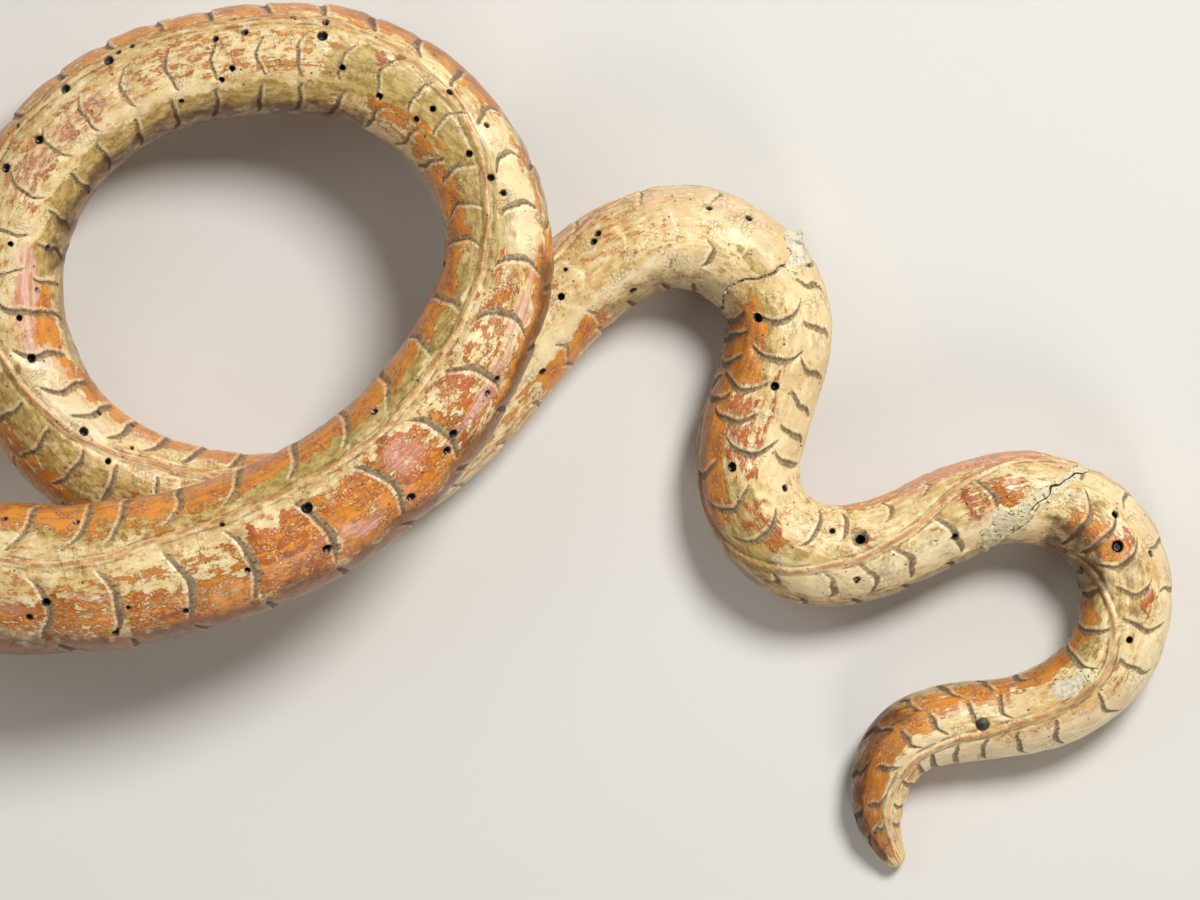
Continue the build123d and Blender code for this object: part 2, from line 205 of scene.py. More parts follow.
ROWS = [
    # back of the head
    (32, 92, -3.0, -3.0, 1.5, 0.55, [-4, -13, -22]),
    (62, 120, -3.0, -3.0, 1.5, 0.55, [-8.5, -17.5, -26.5]),
    (90, 150, -3.0, -3.0, 1.5, 0.55, [-4, -13, -22]),
    (-30, 30, -3.0, -3.0, 1.5, 0.55, [-8.5, -17.5]),
    (152, 212, -3.0, -3.0, 1.5, 0.55, [-8.5, -17.5]),
    # front strand, belly side above the ridge
    (("A", -72), ("A", -6), 1.5, -6.5, 1.5, 0.62, [
        6, 18, 30, 42, 55, 67, 80, 93, 106, 115.5, 130, 146, 163, 179, 194,
    ]),
    (("A", -62), ("A", -6), 0.0, -2.0, 1.4, 0.55, [207.5, 220, 237.5]),
    (("A", -58), ("A", -6), -2.5, -2.5, 1.2, 0.5, [247.5, 257]),
    # front strand, back side below the ridge
    (("A", 7), 146, -4.5, -2.0, 1.9, 0.72, [97.5, 111.5, 127, 142, 160, 177, 193, 208, 221]),
    (("A", 8), 146, -3.0, -1.5, 1.5, 0.55, [233, 244.5, 254.5]),
    (149, 212, -2.0, -1.5, 1.4, 0.6, [
        100, 114, 128.5, 143, 159.5, 175.5, 190.5, 205, 218.5, 230, 241.5, 252,
    ]),
    # neck, three staggered rows over the back and one each side
    (("A", 8), ("A", 72), -3.0, -3.0, 1.6, 0.6, [4, 15, 26, 37, 48, 59.5, 71, 84]),
    (("A", 70), ("A", 130), -3.0, -3.0, 1.6, 0.6, [9.5, 20.5, 31.5, 42.5, 53.5, 65, 77]),
    (("A", 128), ("A", 190), -3.0, -3.0, 1.6, 0.6, [
        4, 15, 26, 37, 48, 59.5, 71, 84, 97, 111, 126, 141, 158, 175, 191, 207, 222,
    ]),
    # top of the coil
    (68, 117, -1.5, -2.2, 0.85, 0.45, [
        268, 277, 286, 295.5, 306, 315, 326, 336.5, 347.5, 358.5, 368.5, 380.5, 391, 400,
    ]),
    (14, 64, 3.0, -1.2, 1.0, 0.5, [
        262, 272, 283, 294, 305, 315.5, 327, 338, 349, 361, 371, 383, 392.5, 402, 411,
    ]),
    (("A", 6), ("A", 74), -2.0, -2.0, 1.5, 0.9, [
        264, 273.5, 283, 292.5, 303, 314, 326, 337, 347.5, 358.5, 370, 381, 392, 403, 413,
    ]),
    # lower left of the coil and on under the front strand
    (("A", -72), ("A", -7), 2.5, -4.5, 1.6, 0.6, [
        409, 421.5, 432.5, 443.5, 454, 464.5, 475, 486, 497, 508, 520, 532, 544, 556, 568,
    ]),
    (("A", 8), ("A", 66), -1.5, -1.0, 1.4, 0.5, [
        423, 431.5, 440, 449, 458, 468, 479, 490, 501, 512, 524, 536, 548,
    ]),
    # out to the hump
    (146, 204, -1.5, -1.5, 1.1, 0.45, [
        418, 429, 440, 452, 463, 474, 486, 497, 509, 521, 533, 545, 557, 569, 581, 593, 605, 617,
    ]),
    (56, 104, -1.5, -1.5, 0.7, 0.22, [563, 575, 587, 599.5, 611, 626]),
    (88, 122, -2.0, -1.0, 1.3, 0.55, [619]),
    (112, 128, -0.5, -0.5, 0.8, 0.3, [608]),
    (118, 150, -1.5, -1.5, 1.0, 0.4, [571, 583]),
    (-10, 46, -1.5, -1.5, 1.0, 0.4, [592, 605, 617]),
    # down from the hump: overlapping scales
    (18, 66, 1.8, -2.6, 1.5, 0.5, [638, 646, 654, 661.5, 668.5, 676]),
    (58, 124, -4.5, -3.0, 1.5, 0.68, [643.5, 653.8, 675]),
    (88, 152, -4.0, -2.5, 1.5, 0.66, [662, 669.5, 686]),
    (66, 140, -4.5, -3.0, 1.5, 0.62, [693.5]),
    (-44, 8, -2.0, -2.0, 1.1, 0.5, [640, 649, 658, 667, 676, 685, 694, 703, 712, 721, 730, 739, 748]),
    (128, 188, -3.0, -3.0, 1.4, 0.6, [640, 649, 657.5, 666, 680]),
    # trough and crest, both sides of the other ridge
    (28, ("B", -22), -1.0, -3.0, 1.1, 0.55, [704.3, 714.5, 726.5, 737, 746.5]),
    (("B", 6), 150, -3.0, -1.0, 1.6, 0.6, [700.5, 710.5, 718, 726, 737.5, 749.5]),
    (150, 205, -1.5, -1.5, 1.4, 0.5, [640, 651, 662, 706, 715, 724, 734, 744]),
    # the bend
    (52, ("A", -10), -4.0, -2.0, 1.3, 0.5, [772, 778.5, 785.5, 792.5]),
    (-20, 50, 2.0, 1.0, 1.2, 0.5, [767, 775.5, 784, 792]),
    (("A", 6), 168, -2.5, -0.5, 1.4, 0.5, [783, 792, 803, 813]),
    (170, 216, -1.0, 0.0, 1.1, 0.45, [772, 781, 790, 799, 808]),
    # tail end
    (("A", -78), ("A", -7), -2.0, -1.0, 1.2, 0.5, [
        799, 807, 815.5, 826.5, 834, 841, 848, 855, 862, 869, 875.5, 881.5,
    ]),
    (("A", 10), ("A", 54), -2.2, 1.0, 1.3, 0.55, [836, 843, 851, 858.5, 866.8, 874.8, 881]),
    (("A", 60), ("A", 112), -2.6, 2.4, 1.3, 0.55, [831, 839.5, 847.5, 855, 862, 869.8, 877.8, 883.5]),
]


def plain_rows():
    """Cuts under the body, where both rows of the belly meet."""
    rows = []
    for start, end, pitch in ((2, 240, 13.0), (240, 630, 10.5), (640, 756, 8.5), (766, 884, 7.5)):
        rows.append((216, 266, -2.0, 2.0, 1.1, 0.45, np.arange(start + pitch / 2, end, pitch)))
        rows.append((274, 324, 2.0, -2.0, 1.1, 0.45, np.arange(start, end, pitch)))
    return rows


def end_angle(end, s):
    return ridge(s, end[0]) + end[1] if isinstance(end, tuple) else end


def cut_scales(s, angle, stretch):
    """Depth of the cuts, and how much each point lies in a groove or on a cut's edge, which gets a painted
    highlight.
    """
    depth = np.zeros_like(s)
    groove = np.zeros_like(s)
    rim = np.zeros_like(s)
    low_s, high_s = s.min(), s.max()
    for low, high, low_sweep, high_sweep, width, deep, spots in ROWS + plain_rows():
        for k, spot in enumerate(np.array(spots) * DRAWN):
            if spot < low_s - 14 or spot > high_s + 14:
                continue
            band = np.where((np.abs(s - spot) < 11).any(axis=1))[0]
            if len(band) == 0:
                continue
            ss = s[band]
            first = end_angle(low, spot)
            length = (end_angle(high, spot) - first) % 360.0
            u = turn(angle[band] - first - length / 2) / length + 0.5
            sweep = np.where(u < 0.5, low_sweep, high_sweep)
            wobble = 0.35 * np.sin(5.0 * u + 2.3 * k) + 0.2 * np.sin(13.0 * u + 1.1 * spot)
            centre = spot + sweep * (2 * u - 1) ** 2 + wobble
            x = (ss - centre) * stretch[band]
            live = smooth(u, 0.0, 0.10) * smooth(1 - u, 0.0, 0.10)
            swell = 0.75 + 0.25 * np.sin(2.1 * k + 7.0 * u)
            reach = width * (0.35 + 0.65 * np.sin(np.pi * np.clip(u, 0, 1)) ** 0.7)
            fall = smooth(x, -0.2, 0.3) * (1 - smooth(x, reach * 0.5, reach * 3.4))
            depth[band] = np.maximum(depth[band], live * swell * deep * fall)
            shade = live * smooth(x, -0.2, 0.15) * np.clip(1.25 - x / (reach * 1.3), 0, 1)
            groove[band] = np.maximum(groove[band], shade * min(1.0, deep / 0.5))
            rim[band] = np.maximum(rim[band], live * bump(x + 0.5, 0.5))
    return depth, groove, rim * (1 - groove)


# --- Beetle holes: place in the layout seen from above, and radius, mm ---------------------

HOLES_UPPER = [
    (-139, 66, 1.2), (-131.5, 72.5, 1.1), (-136, 76, 0.6), (-125, 84.5, 1.2), (-115, 91, 1.2),
    (-112.5, 93, 0.7), (-109.5, 94.5, 0.7), (-89.5, 96, 0.8), (-83, 97.5, 0.9), (-86, 89, 0.8),
    (-88.5, 86.5, 0.8), (-98, 81.5, 0.7), (-72, 101, 0.8), (-64, 99.5, 0.8), (-64.5, 96.5, 1.3),
    (-60, 89, 0.8), (-51.5, 82.5, 0.9), (-43, 77, 0.8), (-39, 79.5, 0.8), (-35, 83.5, 0.9),
    (-26.5, 75.5, 0.8), (-30.5, 69, 0.9), (-25.5, 63.5, 0.9), (-22.5, 60, 0.8), (-36, 43.5, 0.8),
    (-138, 48, 0.7), (-129.5, 47.5, 0.8), (-136, 31, 0.8), (-133, 21.5, 1.1), (-132, 37.5, 0.6),
    (-52.5, 9, 0.9), (-138.5, -16, 0.9), (-121.5, -16.5, 0.9), (-68, -13.5, 1.4), (-63, -23, 1.2),
    (-23.5, 16, 0.9), (-26, 13, 0.9), (-34, 3.5, 1.1), (-35.5, 0, 1.1), (-43.5, -11, 1.1),
    (-81.5, -28, 0.8), (-128.5, -35.5, 1.1), (-132.5, -39, 0.9), (-112.5, -42.5, 0.9),
    (-109.5, -37, 0.7), (-96, -37.5, 0.9), (-87.5, -17, 0.7),
]
HOLES_LOWER = [
    (-117.5, 9, 0.7), (-121, 4.5, 1.1), (-109.5, 6, 0.6), (-110, 0.5, 0.6), (-115.5, -2.5, 0.8),
    (-1.5, 49, 0.9), (-0.5, 51, 0.9), (-9, 36, 0.9), (-8, 42.5, 0.6), (8, 37.5, 0.9),
    (25.5, 57, 0.8), (35, 54.5, 0.9), (-13.5, 18.5, 0.9), (37, 31, 1.2), (41, 15, 1.1),
    (31, -4, 1.2), (43.5, -9, 0.9), (60.5, -30.5, 0.9), (54.5, -19, 0.8), (83.5, -20.5, 0.9),
    (121.5, -22.5, 1.5), (129.5, -24, 0.9), (124.5, -44.5, 0.9), (121, -15, 0.9),
]
BORE_AT = (61.1, -20.7)  # the fixing bore and its sunk seat
PIN_AT = (90.0, -64.4)
# place, radius and depth
WELLS = [(*BORE_AT, 2.15, 0.9), (*BORE_AT, 1.25, 7.0), (*PIN_AT, 1.7, 0.35)]


def from_above(x, y, low, high):
    """Distance and angle of the point of the body seen from above at a layout place."""
    s, angle = np.meshgrid(np.arange(low, high, 0.5), np.arange(2.0, 179.0, 1.0), indexing="ij")
    point, out = skin(s, angle)
    gap = np.hypot(point[..., 0] - x - LAYOUT[0], point[..., 1] - y - LAYOUT[1])
    gap += 0.004 * (60.0 - point[..., 2])
    best = np.unravel_index(np.argmin(gap), gap.shape)
    return s[best], angle[best]


def all_holes():
    """Every hole as distance, angle, radius, depth."""
    holes = []
    for x, y, radius in HOLES_UPPER:
        holes.append((*from_above(x, y, 60.0, 440.0), radius, 2.0))
    for x, y, radius in HOLES_LOWER:
        holes.append((*from_above(x, y, 425.0, 889.0), radius, 2.0))
    for x, y, radius, depth in WELLS:
        holes.append((*from_above(x, y, 640.0, 889.0), radius, depth))
    # scattered ones: from and to along the body, how many, and from and to round it
    for start, end, count, low, high in ((4, 880, 62, 196, 344), (2, 76, 9, 0, 180)):
        for s in rng.uniform(start, end, count):
            holes.append((s, rng.uniform(low, high), rng.uniform(0.6, 1.1), 1.8))
    return holes


HOLES = all_holes()


def drill(base, height, s):
    """Opens the holes: slides the mesh onto each rim and sinks what lies inside it."""
    dark = np.zeros_like(height)
    for at, angle, radius, deep in HOLES:
        rows = np.where((np.abs(s - at) < radius + 2).any(axis=1))[0]
        if len(rows) == 0:
            continue
        centre, _ = skin(at, angle)
        offset = base[rows] - centre
        q = np.linalg.norm(offset, axis=-1) / radius
        slack = min(0.5, 0.62 * STEP / radius)
        if q.min() > 1 + slack:
            continue
        inside = q < 1 - slack
        on_rim = (q >= 1 - slack) & (q <= 1 + slack)
        target = np.where(on_rim, 1.0, np.where(inside, q * 0.86 / (1 - slack), q))
        base[rows] = centre + offset * (target / np.maximum(q, 1e-6))[..., None]
        height[rows] = np.where(inside, np.minimum(height[rows], 0.0) - deep, height[rows])
        # inside each hole the dark level paints the shade of the bore over its dark inside; shallow seats
        # get half
        level = 1.0 if deep > 1.0 else 0.5
        stain = 0.45 * bump((q - 1.0) * radius, 0.55)
        dark[rows] = np.maximum(dark[rows], np.where(inside, level, stain))
    return dark


# --- Colour of the coat --------------------------------------------------------------------
# Patches of each channel: from and to along the body (mm), from and to round it (degrees), strength.

PAINT = {
    "O": [  # orange glaze
        (-75, 2, -60, 14, 0.7), (-75, 2, 166, 240, 0.7), (-60, -28, 30, 58, 0.6), (-60, -28, 122, 150, 0.6),
        (60, 88, 186, 204, 0.7), (70, 88, 158, 178, 0.7), (72, 84, -60, 0, 0.6), (78, 240, -40, 46, 0.95),
        (82, 235, 85, 145, 0.35), (82, 112, 112, 150, 0.45), (84, 240, 148, 200, 0.75),
        (98, 150, 40, 60, 0.35), (113, 127, 112, 160, 0.45), (126, 142, 116, 165, 0.6),
        (143, 160, 86, 150, 0.45), (161, 177, 78, 150, 0.65), (178, 193, 118, 150, 0.6),
        (205, 236, 134, 166, 0.7), (236, 262, 20, 58, 0.75), (238, 262, 138, 175, 0.35),
        (262, 286, 36, 74, 0.5), (262, 380, 140, 200, 0.6), (284, 345, 10, 44, 0.25),
        (296, 400, 76, 122, 0.28), (404, 436, 36, 58, 0.85), (430, 520, -20, 32, 0.85),
        (432, 462, 124, 168, 0.5), (478, 560, 20, 170, 0.35), (560, 586, 126, 168, 0.65),
        (596, 618, 60, 100, 0.2), (636, 662, 106, 172, 0.85), (658, 684, 120, 172, 0.8),
        (680, 692, 130, 168, 0.55), (690, 700, 84, 116, 0.3), (700, 752, 138, 158, 0.3),
        (712, 762, -10, 36, 0.5), (745, 758, 60, 112, 0.4), (768, 786, 72, 118, 0.62),
        (788, 814, 128, 165, 0.7), (796, 820, 128, 150, 0.5), (808, 826, 20, 40, 0.3),
        (814, 842, 126, 168, 0.7), (834, 858, 106, 150, 0.62), (852, 889, 82, 150, 0.66),
        (856, 874, 36, 60, 0.3),
    ],
    "V": [  # olive gold
        (-34, 2, 56, 124, 0.5), (96, 232, 44, 62, 0.75), (97, 110, 86, 150, 0.35),
        (127, 141, 86, 128, 0.35), (143, 150, 136, 160, 0.5), (226, 300, 56, 112, 0.7),
        (296, 402, 26, 62, 0.7), (422, 470, 88, 134, 0.55), (625.5, 632.5, 64, 92, 0.85),
        (634, 660, 92, 126, 0.6), (682, 706, 88, 152, 0.65), (730, 748, 92, 112, 0.3),
        (766, 800, 60, 112, 0.4), (786, 818, 118, 172, 0.9), (844, 882, 66, 80, 0.4),
    ],
    "P": [  # pink gloss: painted highlights, over some of the coat's own pink
        (-56, -34, 74, 106, 0.4), (84, 95, 96, 124, 0.5), (101, 111, 96, 108, 0.6),
        (163, 172, 118, 136, 0.8), (178, 190, 84, 112, 0.65), (190, 236, 119, 134, 0.75),
        (300, 330, 136, 160, 0.4), (318, 345, 84, 116, 0.4), (346, 384, 78, 110, 0.5),
        (392, 424, 56, 82, 0.95), (452, 484, 30, 42, 0.6), (578, 600, 18, 46, 0.6), (603, 628, 20, 54, 0.5),
        (730, 764, 10, 44, 0.6), (812, 838, 34, 66, 0.5), (836, 852, 100, 122, 0.4),
    ],
    "R": [  # worn red ground
        (-74, -36, 30, 150, 0.4), (82, 98, 100, 150, 0.5), (98, 112, 96, 150, 0.5),
        (112, 127, 108, 150, 0.65), (127, 142, 86, 130, 0.4), (143, 160, 80, 146, 1.0),
        (161, 177, 80, 146, 0.6), (178, 192, 78, 146, 0.85), (194, 208, 76, 146, 0.6),
        (208, 232, 76, 120, 0.45), (284, 289, 104, 116, 0.9), (318, 345, 88, 112, 0.35),
        (352, 384, 76, 112, 0.4), (440, 472, 96, 118, 0.35), (578, 600, 20, 46, 0.35),
        (622, 628, 70, 84, 0.4), (640, 668, 30, 100, 0.2), (640, 662, 110, 150, 0.35),
        (662, 686, 128, 166, 0.6), (664, 675, 95, 150, 0.6), (668, 680, 76, 120, 0.55),
        (684, 692, 112, 136, 0.45), (686, 700, 78, 112, 0.55), (742, 758, 62, 116, 0.55),
        (778, 784, 56, 84, 0.55), (791, 797, 54, 74, 0.6), (828, 850, 118, 150, 0.4),
        (860, 889, 86, 128, 0.45),
    ],
    "W": [  # bright cream: worn pale gilding, and painted light and highlights on flanks
        (-30, 0, 60, 120, 0.4), (84, 96, 132, 152, 0.6), (233, 262, 104, 142, 0.8), (326, 366, 64, 76, 0.8),
        (384, 402, 66, 92, 0.6), (420, 452, 44, 84, 0.9), (556, 622, 108, 124, 0.7),
        (606, 680, -10, 76, 0.5), (656, 690, 44, 66, 0.6), (698, 752, 104, 146, 0.85),
        (744, 762, 112, 150, 0.7), (766, 800, 10, 52, 0.7), (800, 862, -10, 58, 0.95),
        (830, 852, 92, 118, 0.5), (846, 884, 50, 80, 0.8),
    ],
    "D": [  # dirt, and painted shade on flanks and inner bends turned away from the light
        (84, 235, 144, 230, 0.9), (84, 300, -60, 16, 0.35), (240, 300, 152, 230, 0.5),
        (285, 400, -30, 40, 1.0), (396, 440, -30, 26, 0.6), (586, 640, 130, 200, 0.55),
        (634, 664, 122, 160, 0.4), (640, 702, 146, 210, 0.6), (688, 760, 152, 220, 0.55),
        (765, 791, 108, 200, 1.0), (784, 790, 74, 92, 0.55), (784, 797, 128, 200, 0.85),
        (796, 826, 144, 200, 0.5), (797, 801, 62, 80, 0.6), (800, 832, 132, 170, 0.3),
        (805, 809, 80, 96, 0.5), (815, 824, 76, 88, 0.4), (826, 862, 150, 200, 0.45),
        (856, 889, 116, 220, 1.0), (858, 889, 84, 122, 0.3), (866, 889, 104, 140, 0.4),
    ],
}


SOFT = 2.0  # half the width of a patch's soft edge along the body, mm
SOFT_ROUND = 7.0  # the same round the body, degrees


def paint(s, angle):
    """The coat's channels at every point, before the material breaks up their edges."""
    coat = {name: np.zeros_like(s) for name in PAINT}
    shown = smooth(s, 72, 84)
    hidden = 1 - shown * smooth(np.cos(np.radians(angle - 90)), -0.25, 0.1)
    blotch = wander(s, angle, BLOTCH)
    coat["O"] = hidden * smooth(blotch, 0.1, 0.9) * 0.8
    coat["V"] = hidden * smooth(-blotch, 0.5, 1.2) * 0.6
    coat["R"] = hidden * smooth(wander(s, angle, STAINS), 0.8, 1.6) * 0.6
    # painted shade: darker towards the underside, in the channel that carries dirt and painted shade
    coat["D"] = hidden * smooth(-np.sin(np.radians(angle)), 0.3, 1.0) * 0.5
    drift = 1.1 * wander(s, angle, PATCHY) + 0.7 * wander(s, angle, CHIPS)
    swing = 4.0 * wander(s + 31.0, angle, PATCHY) + 2.0 * wander(s + 31.0, angle, CHIPS)
    at = (s + drift) / DRAWN
    for name, patches in PAINT.items():
        for start, end, first, last, strength in patches:
            half = (last - first) / 2
            across = np.abs(turn(angle + swing - (first + last) / 2))
            weight = smooth(at, start - SOFT, start + SOFT) * (1 - smooth(at, end - SOFT, end + SOFT))
            weight = weight * (1 - smooth(across, half - SOFT_ROUND, half + SOFT_ROUND)) * strength
            coat[name] = np.maximum(coat[name], weight)
    return coat


# --- Meshes --------------------------------------------------------------------------------

ANGLES = -90.0 + np.arange(AROUND) * 360.0 / AROUND  # the seam runs along the belly
CAP = np.radians([12, 25, 38, 51, 64, 77, 87])  # rings of a rounded end, from its edge to its top
CAP_STEPS = np.arange(1, len(CAP) + 1)[:, None]


def grid(start, end):
    """Distances and angles of a tube's points; start and end may differ round the body."""
    start = np.broadcast_to(start, ANGLES.shape)
    end = np.broadcast_to(end, ANGLES.shape)
    count = int(np.ceil((end - start).max() / STEP)) + 1
    share = np.linspace(0.0, 1.0, count)[:, None]
    return start + (end - start) * share, np.broadcast_to(ANGLES, (count, AROUND)).copy()


def build(name, points, paints, uvs=None):
    """Closed mesh object from rings of points in mm, with a fan of faces on each end."""
    rows, count = points.shape[:2]
    first = np.arange(count)
    here = np.arange(rows - 1)[:, None] * count + first
    beside = np.arange(rows - 1)[:, None] * count + (first + 1) % count
    faces = np.stack([here, beside, beside + count, here + count], -1).reshape(-1, 4).tolist()
    last = (rows - 1) * count
    for j in range(count):
        faces.append((rows * count, (j + 1) % count, j))
        faces.append((rows * count + 1, last + j, last + (j + 1) % count))
    verts = np.concatenate([points.reshape(-1, 3), np.stack([points[0].mean(0), points[-1].mean(0)])])
    mesh = bpy.data.meshes.new(name)
    mesh.from_pydata((verts * MM).tolist(), [], faces)
    mesh.polygons.foreach_set("use_smooth", np.ones(len(faces), bool))
    ends = np.zeros(len(mesh.edges) * 2, int)
    mesh.edges.foreach_get("vertices", ends)
    ends = ends.reshape(-1, 2)
    sharp = (ends < count).all(1) | ((ends >= last) & (ends < rows * count)).all(1)
    mesh.attributes.new("sharp_edge", "BOOLEAN", "EDGE").data.foreach_set("value", sharp)
    for label, values in paints.items():
        full = np.zeros((len(verts), 4), np.float32)
        full[: rows * count] = values.reshape(-1, 4)
        mesh.attributes.new(label, "FLOAT_COLOR", "POINT").data.foreach_set("color", full.ravel())
    if uvs is not None:
        u, v = uvs
        corners_u = np.stack([u[:-1], u[:-1], u[1:], u[1:]], -1)
        corners_v = np.stack([v[:-1, :-1], v[:-1, 1:], v[1:, 1:], v[1:, :-1]], -1)
        flat = np.stack([corners_u.reshape(-1), corners_v.reshape(-1)], -1)
        full = np.zeros((len(mesh.loops), 2), np.float32)
        full[: len(flat)] = flat
        mesh.uv_layers.new(name="flow").data.foreach_set("uv", full.ravel())
    made = bpy.data.objects.new(name, mesh)
    bpy.context.scene.collection.objects.link(made)
    return made


def stand_for(piece, node, material):
    """Puts a piece in a CAD node's place."""
    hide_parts(node)
    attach(piece, "root")
    piece.data.materials.append(material)


def flow_uvs(s):
    """Distance along and round the body in metres, for streaks that follow it."""
    round_body = np.arange(AROUND + 1) / AROUND * 2 * np.pi * BODY_RADIUS
    return s * MM, np.broadcast_to(round_body, (s.shape[0], AROUND + 1)) * MM


def cords(s, angle, radius):
    """Height of the raised cord along each side, and how much a point lies on it or beside it."""
    height = np.zeros_like(s)
    on_cord = np.zeros_like(s)
    beside = np.zeros_like(s)
    for which in "AB":
        away = radius * np.radians(turn(angle - ridge(s, which)))
        away = away + 0.25 * np.sin(s / 6.1) + 0.15 * np.sin(s / 2.3)
        swell = 0.8 + 0.2 * np.sin(s / 3.7 + (which == "B"))
        sunk = 0.28 * bump(away + 1.4, 0.6) + 0.25 * bump(away - 1.4, 0.6)
        height += swell * (0.52 * bump(away, 0.62) - sunk)
        on_cord = np.maximum(on_cord, bump(away, 0.66))
        beside = np.maximum(beside, np.maximum(bump(away + 1.3, 0.45), bump(away - 1.3, 0.45)))
    return height, on_cord, beside


def relief(s, angle, radius, stretch):
    """Height of the carved surface over the plain body, with the masks the paint needs."""
    depth, groove, rim = cut_scales(s, angle, stretch)
    height, on_cord, beside = cords(s, angle, radius)
    height -= depth
    height += 0.20 * wander(s, angle, BROAD) + 0.06 * wander(s, angle, FINE)
    crest = np.abs(turn(angle - 70.0)) * radius * np.pi / 180
    spine = smooth(s, 318, 345) * (1 - smooth(s, 402, 425))
    height += spine * 0.75 * np.clip(1 - np.sqrt(crest**2 + 1.2) / 7.5, 0, 1)
    crest = np.abs(turn(angle - np.interp(s, [565, 622], [128, 100]))) * radius * np.pi / 180
    facet = smooth(s, 558, 575) * (1 - smooth(s, 618, 632))
    height += facet * 0.55 * np.clip(1 - np.sqrt(crest**2 + 0.8) / 6.0, 0, 1)
    return height, groove, rim, on_cord, beside


SEAT = 24.2  # height of the planed lap between the two strands
SEAT_X = (-98.0, -32.0)
SEAT_Y = (-31.0, 21.0)
SEAT_CUT = (3.2, 3.3)  # the most planed off the upper strand, and off the lower one
FRONT_STRAND_TO = 220.0  # distance along the body that the upper strand ends before
REAR_STRAND_FROM = 400.0


def rest_flat(points, s):
    """Planes the underside level, and the lap where one strand lies on the other."""
    points[..., 2] = np.maximum(points[..., 2], 0.0)
    x, y, z = np.moveaxis(points - LAYOUT, -1, 0)
    lap = (x > SEAT_X[0]) & (x < SEAT_X[1]) & (y > SEAT_Y[0]) & (y < SEAT_Y[1])
    upper = lap & (s < FRONT_STRAND_TO) & (z > SEAT - SEAT_CUT[0]) & (z < SEAT)
    lower = lap & (s > REAR_STRAND_FROM) & (z < SEAT + SEAT_CUT[1]) & (z > SEAT)
    points[..., 2] = np.where(upper | lower, SEAT, z)
    return points


def coat_attributes(s, angle, masks, extra):
    groove, rim, on_cord, beside, hole = masks
    coat = paint(s, angle)
    colours = np.stack([coat["O"], coat["V"], coat["P"], coat["R"]], -1)
    # marks: grooves, cut rims with a painted highlight, holes with painted shade, bright cream with painted
    # light. The last attribute: dirt with painted shade, the cord, painted shadow lines beside it, chipped
    # joint edges.
    marks = np.stack([groove, rim, hole, coat["W"]], -1)
    grime_and_shade = np.stack([coat["D"], on_cord, beside, extra], -1)
    return {"coat": colours, "marks": marks, "grime_and_shade": grime_and_shade}


def rounded_tip(points):
    """Rings that close the body beyond its last station."""
    forward, _, _ = axes(TIP)
    centre, ring = middle(TIP), points[-1]
    swell = read(3, TIP) / 2
    return [centre + (ring - centre) * np.cos(t) + forward * swell * np.sin(t) for t in CAP]


def carved(name, start, end, chipped=(False, False), tip=False):
    """One carved length of the body. Its joints may be chipped, or it ends in the tip."""
    s, angle = grid(start, end)
    base, out = skin(s, angle)
    stretch = stretch_of(s, angle)
    height, *masks = relief(s, angle, read(3, s) / 2, stretch)
    if tip:
        fade = 1 - smooth(s, TIP - 5, TIP - 1)
        height, *masks = [values * fade for values in (height, *masks)]
    edge = np.zeros_like(s)
    for flag, away in ((chipped[0], s - s[:1]), (chipped[1], s[-1:] - s)):
        if flag:
            away = away * stretch
            edge = np.maximum(edge, bump(away, 0.38))
            height -= (0.3 + 0.15 * wander(s, angle, CHIPS)) * bump(away, 0.32)
    masks.append(drill(base, height, s))
    points = base + out * height[..., None]
    if tip:
        points = np.concatenate([points, rounded_tip(points)])
        s = np.concatenate([s, s[-1:] + CAP_STEPS * 0.35])
        more = ((0, len(CAP)), (0, 0))
        angle, edge, *masks = [np.pad(values, more, "edge") for values in (angle, edge, *masks)]
    points = rest_flat(points, s)
    made = build(name, points, coat_attributes(s, angle, masks, edge), flow_uvs(s))
    stand_for(made, name, GILDED)


# --- Where the opened joints run -----------------------------------------------------------

CREST = 763.0
CREST_SKEW = -42.0  # degrees the crest's joint is turned from square
TAIL_JOINT = 821.0


def hump_crack(angle):
    """The crack over the hump wanders from one side of the joint to the other."""
    places = [-200, -160, 20, 30, 67, 78, 96, 108, 127, 144, 160, 200]
    distances = [632, 632, 636, 635.8, 633, 633.3, 632, 629.8, 628.3, 628.6, 631, 632]
    return np.interp((angle + 200) % 360 - 200, places, distances) * DRAWN


def crest_cut(angle, offset):
    """Distance along the body where the slanted crest joint, moved by offset, meets the skin."""
    centre = middle(CREST)
    forward, left, _ = axes(CREST)
    skew = np.radians(CREST_SKEW)
    turned = np.array([[np.cos(skew), -np.sin(skew), 0], [np.sin(skew), np.cos(skew), 0], [0, 0, 1]])
    normal = turned @ forward
    trial = np.linspace(CREST - 17, CREST + 17, 341)
    found = []
    for a, off in np.broadcast(np.atleast_1d(angle), offset):
        point, _ = skin(trial, np.full_like(trial, a))
        side = (point - centre) @ normal - off
        crossing = np.where((side[:-1] < 0) & (side[1:] >= 0))[0]
        k = crossing[0] if len(crossing) else int(np.argmin(np.abs(side)))
        span = side[k + 1] - side[k] if len(crossing) else 1.0
        found.append(trial[k] - side[k] / span * (trial[1] - trial[0]))
    return np.array(found)


# --- Materials -----------------------------------------------------------------------------

def rgb(code):
    """Linear colour from a six-digit sRGB code."""
    values = [int(code[i:i + 2], 16) / 255 for i in (0, 2, 4)]
    return [v / 12.92 if v <= 0.04045 else ((v + 0.055) / 1.055) ** 2.4 for v in values] + [1.0]


